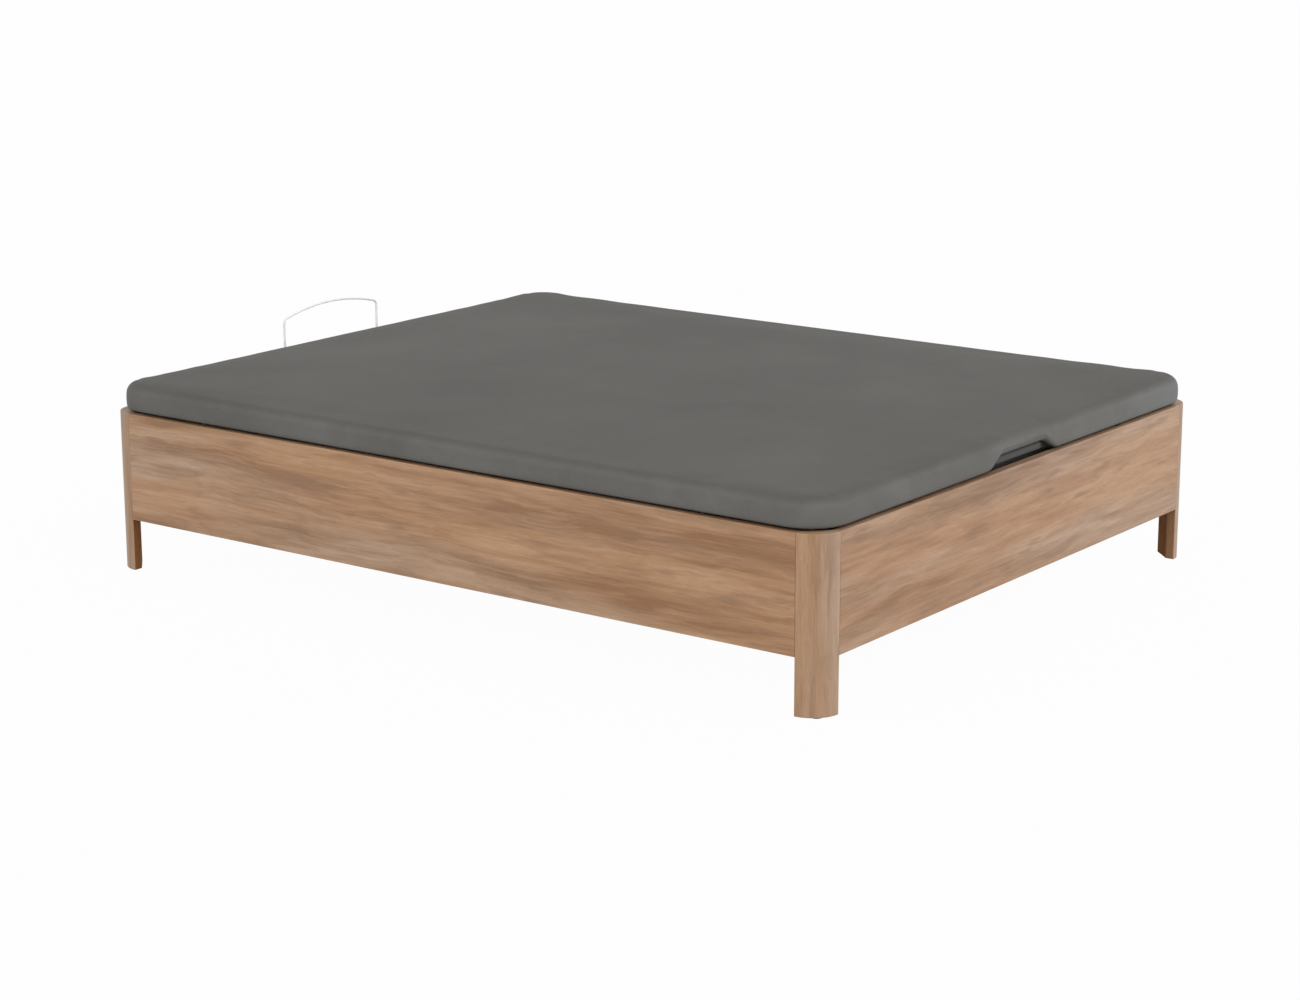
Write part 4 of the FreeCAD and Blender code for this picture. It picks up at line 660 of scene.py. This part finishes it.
def settle(cushion):
    """Swells the slack cloth against its held underside, within the cap."""
    cloth = cushion.modifiers.new("cloth", "CLOTH")
    cloth.settings.quality = SIM_QUALITY
    cloth.settings.use_pressure = True
    cloth.settings.uniform_pressure_force = SIM_PRESSURE
    cloth.settings.vertex_group_mass = "held"
    cloth.settings.shrink_min = SIM_SLACK
    cloth.settings.effector_weights.gravity = 0
    cloth.collision_settings.use_collision = False
    cloth.point_cache.frame_start = 1
    cloth.point_cache.frame_end = SIM_FRAMES
    scene = bpy.context.scene
    for step in range(1, SIM_FRAMES + 1):
        scene.frame_set(step)
    settled = cushion.evaluated_get(bpy.context.evaluated_depsgraph_get()).data
    count = len(cushion.data.vertices)
    before = np.empty(count * 3)
    after = np.empty(count * 3)
    cushion.data.vertices.foreach_get("co", before)
    settled.vertices.foreach_get("co", after)
    cushion.modifiers.remove(cloth)
    scene.frame_set(1)
    move = (after - before).reshape(-1, 3)
    length = np.linalg.norm(move, axis=1, keepdims=True)
    move *= SIM_CAP / (SIM_CAP + length)
    cushion.data.vertices.foreach_set("co", (before.reshape(-1, 3) + move).ravel())
    cushion.data.update()
    capped = np.linalg.norm(move, axis=1)
    print(f"cloth moved {length.max() / MM:.2f} mm before the cap, {capped.max() / MM:.2f} mm after")


def rounded_and_closed(cushion):
    """Smooths the cloth once and closes the hidden opening that lies on the lid board."""
    rounding = cushion.modifiers.new("rounding", "SUBSURF")
    rounding.levels = 1
    smoothed = cushion.evaluated_get(bpy.context.evaluated_depsgraph_get())
    mesh = bpy.data.meshes.new_from_object(smoothed)
    cushion.modifiers.remove(rounding)
    cushion.vertex_groups.clear()
    cushion.data = mesh
    shape = bmesh.new()
    shape.from_mesh(mesh)
    rim = [edge for edge in shape.edges if edge.is_boundary]
    filled = bmesh.ops.triangle_fill(shape, edges=rim, use_beauty=False, normal=(0, 0, -1))["geom"]
    caps = [face for face in filled if isinstance(face, bmesh.types.BMFace)]
    bmesh.ops.recalc_face_normals(shape, faces=shape.faces[:])
    print("cap faces", len(caps), "open edges", sum(edge.is_boundary for edge in shape.edges))
    shape.to_mesh(mesh)
    shape.free()


# Finish of the solids that stay in view: tones, roughness and size of the texture
ZINC = ((186, 186, 180), 0.34)
POLISHED_STEEL = ((214, 214, 217), 0.12)
BLACK_PLASTIC = ((38, 38, 38), 0.5, 0.9 * MM)
BROWN_RUBBER = ((60, 48, 40), 0.75, 0.7 * MM)
BLACK_COAT = ((44, 44, 46), 0.42)
GREY_COAT = ((112, 112, 115), 0.42)
LIGHT_COAT, LIGHT_COAT_WEAR = ((246, 246, 246), 0.35), 0.02
FLOOR_LAMINATE = (((206, 200, 190), (211, 206, 197), (217, 213, 205)), 3 * MM, 0.5)
RAW_CHIPBOARD = (((150, 116, 80), (178, 146, 106), (204, 176, 136)), 2.5 * MM, 0.6)
SOFT_NODES = ("lid_cover", "lid_foam", "handhold_liner")


def dress_nodes():
    """Gives every solid its material and returns the one of all the hardware."""
    pairs, ends = ("left", "right"), ("foot", "head")
    tubes = ("left", "right", "foot", "head", "cross_foot", "cross_middle", "cross_head")
    finishes = {
        wood("oak_along", Y, SIDE_TONES, offset=SIDE_OFFSET): [f"side_board_{side}" for side in pairs],
        wood("oak_across", X, END_TONES, offset=END_OFFSET, direction=-1):
            [f"{end}_board" for end in ends],
        wood("oak_upright", Z, POST_TONES, POST_FIGURE, POST_OFFSET, gloss=POST_GLOSS, post=True):
            [f"corner_post_{end}_{side}" for end in ends for side in pairs],
        pine("pine_along", Y): [f"floor_ledger_{side}" for side in pairs],
        pine("pine_across", X):
            [f"{part}_{end}" for part in ("floor_ledger", "crossbeam") for end in ends],
        wood("beech", X, BEECH_TONES, BEECH_FIGURE, roughness=RAW_ROUGHNESS): ["dowels"],
        chipboard("floor_laminate", *FLOOR_LAMINATE):
            [f"floor_panel_{part}" for part in ("foot", "middle", "head")],
        chipboard("raw_chipboard", *RAW_CHIPBOARD): ["lid_board"],
        coated("black_plastic", *BLACK_PLASTIC): ["leg_glides", "lid_tube_caps", "centre_leg_feet"],
        coated("brown_rubber", *BROWN_RUBBER): ["rim_bumpers"],
        coated("black_powder_coat", *BLACK_COAT):
            ["gas_cylinder_left", "gas_cylinder_right", "gas_lower_brackets", "gas_upper_brackets",
             "centre_legs"],
        coated("grey_powder_coat", *GREY_COAT): [f"lid_tube_{part}" for part in tubes],
        coated("light_powder_coat", *LIGHT_COAT, wear=LIGHT_COAT_WEAR): ["mattress_retainer"],
        metal("polished_rod", *POLISHED_STEEL): [f"gas_rod_{side}" for side in pairs],
    }
    zinc = metal("zinc_plate", *ZINC)
    taken = {name for names in finishes.values() for name in names}.union(SOFT_NODES)
    finishes[zinc] = [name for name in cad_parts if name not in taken]
    for material, names in finishes.items():
        for name in names:
            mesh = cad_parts[name].data
            mesh.materials.clear()
            mesh.materials.append(material)
    return zinc


# Staples along the cloth's turned-in edge, each leaning a little its own way
STAPLE_STEP = 55 * MM
STAPLE_CROWN = 11 * MM
STAPLE_WIRE = 0.8 * MM
STAPLE_INSET = 24 * MM
STAPLE_LEAN, STAPLE_TURN = math.radians(18), 7.3
STAPLE_FLATNESS = 1.6
STAPLE_EDGE = 0.25 * STAPLE_WIRE


def cover_staples():
    """Staples that hold the turned-in cloth to the lid board, clear of the notch and the hinges."""
    shape = bmesh.new()
    for side, (along, outward) in enumerate(SIDES):
        half = abs(HALF.dot(along)) - LID_CORNER
        depth = abs(HALF.dot(outward)) - STAPLE_INSET
        steps = round(2 * half / STAPLE_STEP)
        for step in range(steps + 1):
            place = -half + 2 * half * step / steps
            blocked = side == FOOT_SIDE and abs(place) < NOTCH_WIDE + NOTCH_FADE
            if side == HEAD_SIDE:
                blocked = any(low.x - STAPLE_CROWN < -place < high.x + STAPLE_CROWN
                              for low, high in HINGE_LEAVES)
            if blocked:
                continue
            spot = CENTRE + along * place + outward * depth
            made = bmesh.ops.create_cube(shape, size=1.0)["verts"]
            lean = STAPLE_LEAN * math.sin(STAPLE_TURN * step + side)
            direction = along * math.cos(lean) + outward * math.sin(lean)
            across = Vector((-direction.y, direction.x))
            for vertex in made:
                local = vertex.co.copy()
                flat_place = (spot + direction * local.x * STAPLE_CROWN
                              + across * local.y * STAPLE_WIRE * STAPLE_FLATNESS)
                vertex.co = (flat_place.x, flat_place.y, COVER_LOW.z + local.z * STAPLE_WIRE)
    bmesh.ops.bevel(shape, geom=shape.edges[:], offset=STAPLE_EDGE, segments=2, affect="EDGES")
    mesh = bpy.data.meshes.new("cover_staples")
    shape.to_mesh(mesh)
    shape.free()
    staples = bpy.data.objects.new("cover_staples", mesh)
    bpy.context.scene.collection.objects.link(staples)
    return staples


def seen_directly(tree):
    """1 for rays from the camera, mirrors and glass, 0 for the light that surfaces exchange."""
    rays = tree.nodes.new("ShaderNodeLightPath").outputs
    total = rays["Is Camera Ray"]
    for name in ("Is Glossy Ray", "Is Transmission Ray"):
        node = tree.nodes.new("ShaderNodeMath")
        node.operation = "ADD"
        node.use_clamp = True
        tree.links.new(total, node.inputs[0])
        tree.links.new(rays[name], node.inputs[1])
        total = node.outputs[0]
    return total


def studio_floor():
    """A wide plain floor that looks white and keeps the object's shadow."""
    bpy.ops.mesh.primitive_plane_add(size=FLOOR_SIZE)
    floor = bpy.context.object
    floor.name = "studio_floor"
    graph = Graph("studio_floor", Roughness=0.9, Specular_IOR_Level=0.1)
    graph.shader.inputs["Base Color"].default_value = linear(*FLOOR_COLOUR)
    tree = graph.tree
    white = graph.node("ShaderNodeEmission", {"Strength": 1.0})
    share = graph.math("MULTIPLY", seen_directly(tree), FLOOR_WHITENESS)
    shaders = {0: share, 1: graph.shader.outputs[0], 2: white.outputs[0]}
    mixed = graph.node("ShaderNodeMixShader", shaders)
    tree.links.new(mixed.outputs[0], tree.nodes["Material Output"].inputs["Surface"])
    graph.material.cycles.emission_sampling = "NONE"
    floor.data.materials.append(graph.material)


def studio_light():
    """A white background that lights the object as a graded sky, and the lamp."""
    world = bpy.data.worlds.new("studio")
    bpy.context.scene.world = world
    world.use_nodes = True
    tree = world.node_tree
    sky = tree.nodes["Background"]
    sky.inputs["Color"].default_value = (1, 1, 1, 1)
    direction = tree.nodes.new("ShaderNodeTexCoord").outputs["Generated"]
    height = tree.nodes.new("ShaderNodeSeparateXYZ")
    tree.links.new(direction, height.inputs[0])
    towards = tree.nodes.new("ShaderNodeVectorMath")
    towards.operation = "DOT_PRODUCT"
    towards.inputs[1].default_value = BRIGHT_SIDE
    tree.links.new(direction, towards.inputs[0])
    strength = tree.nodes.new("ShaderNodeMath")
    strength.operation = "MULTIPLY"
    spans = ((height.outputs["Z"], 0.0, HORIZON_STRENGTH, ZENITH_STRENGTH),
             (towards.outputs["Value"], -1.0, DIM_SHARE, BRIGHT_SHARE))
    for factor, (value, lowest, first, last) in enumerate(spans):
        span = tree.nodes.new("ShaderNodeMapRange")
        span.inputs["From Min"].default_value = lowest
        span.inputs["To Min"].default_value = first
        span.inputs["To Max"].default_value = last
        tree.links.new(value, span.inputs["Value"])
        tree.links.new(span.outputs["Result"], strength.inputs[factor])
    tree.links.new(strength.outputs[0], sky.inputs["Strength"])
    white = tree.nodes.new("ShaderNodeBackground")
    white.inputs["Color"].default_value = (1, 1, 1, 1)
    white.inputs["Strength"].default_value = 1.0
    mixed = tree.nodes.new("ShaderNodeMixShader")
    tree.links.new(seen_directly(tree), mixed.inputs[0])
    tree.links.new(sky.outputs[0], mixed.inputs[1])
    tree.links.new(white.outputs[0], mixed.inputs[2])
    tree.links.new(mixed.outputs[0], tree.nodes["World Output"].inputs["Surface"])

    lamp = bpy.data.lights.new("key", "SUN")
    lamp.energy = KEY_STRENGTH
    lamp.angle = KEY_SOFTNESS
    key = bpy.data.objects.new("key", lamp)
    key.rotation_euler = Vector(KEY_FROM).to_track_quat("Z", "Y").to_euler()
    bpy.context.scene.collection.objects.link(key)


def photo_camera():
    """The camera that took the photograph."""
    lens = bpy.data.cameras.new("photo_camera")
    lens.sensor_fit = "HORIZONTAL"
    lens.sensor_width = SENSOR
    lens.lens = SENSOR * FOCAL_PIXELS / IMAGE_WIDTH
    right, down = OPTICAL_AXIS_OFF_CENTRE
    lens.shift_x = -right / IMAGE_WIDTH
    lens.shift_y = down / IMAGE_WIDTH
    camera = bpy.data.objects.new("photo_camera", lens)
    camera.location = CAMERA_PLACE
    camera.rotation_euler = (math.pi / 2 - CAMERA_PITCH, 0, -CAMERA_YAW)
    bpy.context.scene.collection.objects.link(camera)
    bpy.context.scene.camera = camera


bpy.context.scene.view_settings.view_transform = "Standard"
photo_camera()
studio_light()
studio_floor()
zinc = dress_nodes()

upholstery = lid_upholstery()
settle(upholstery)
rounded_and_closed(upholstery)
upholstery.data.materials.append(upholstery_cloth())
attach(upholstery, "lid")
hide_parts("lid_cover", "lid_foam", "handhold_liner")

staples = cover_staples()
staples.data.materials.append(zinc)
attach(staples, "lid")
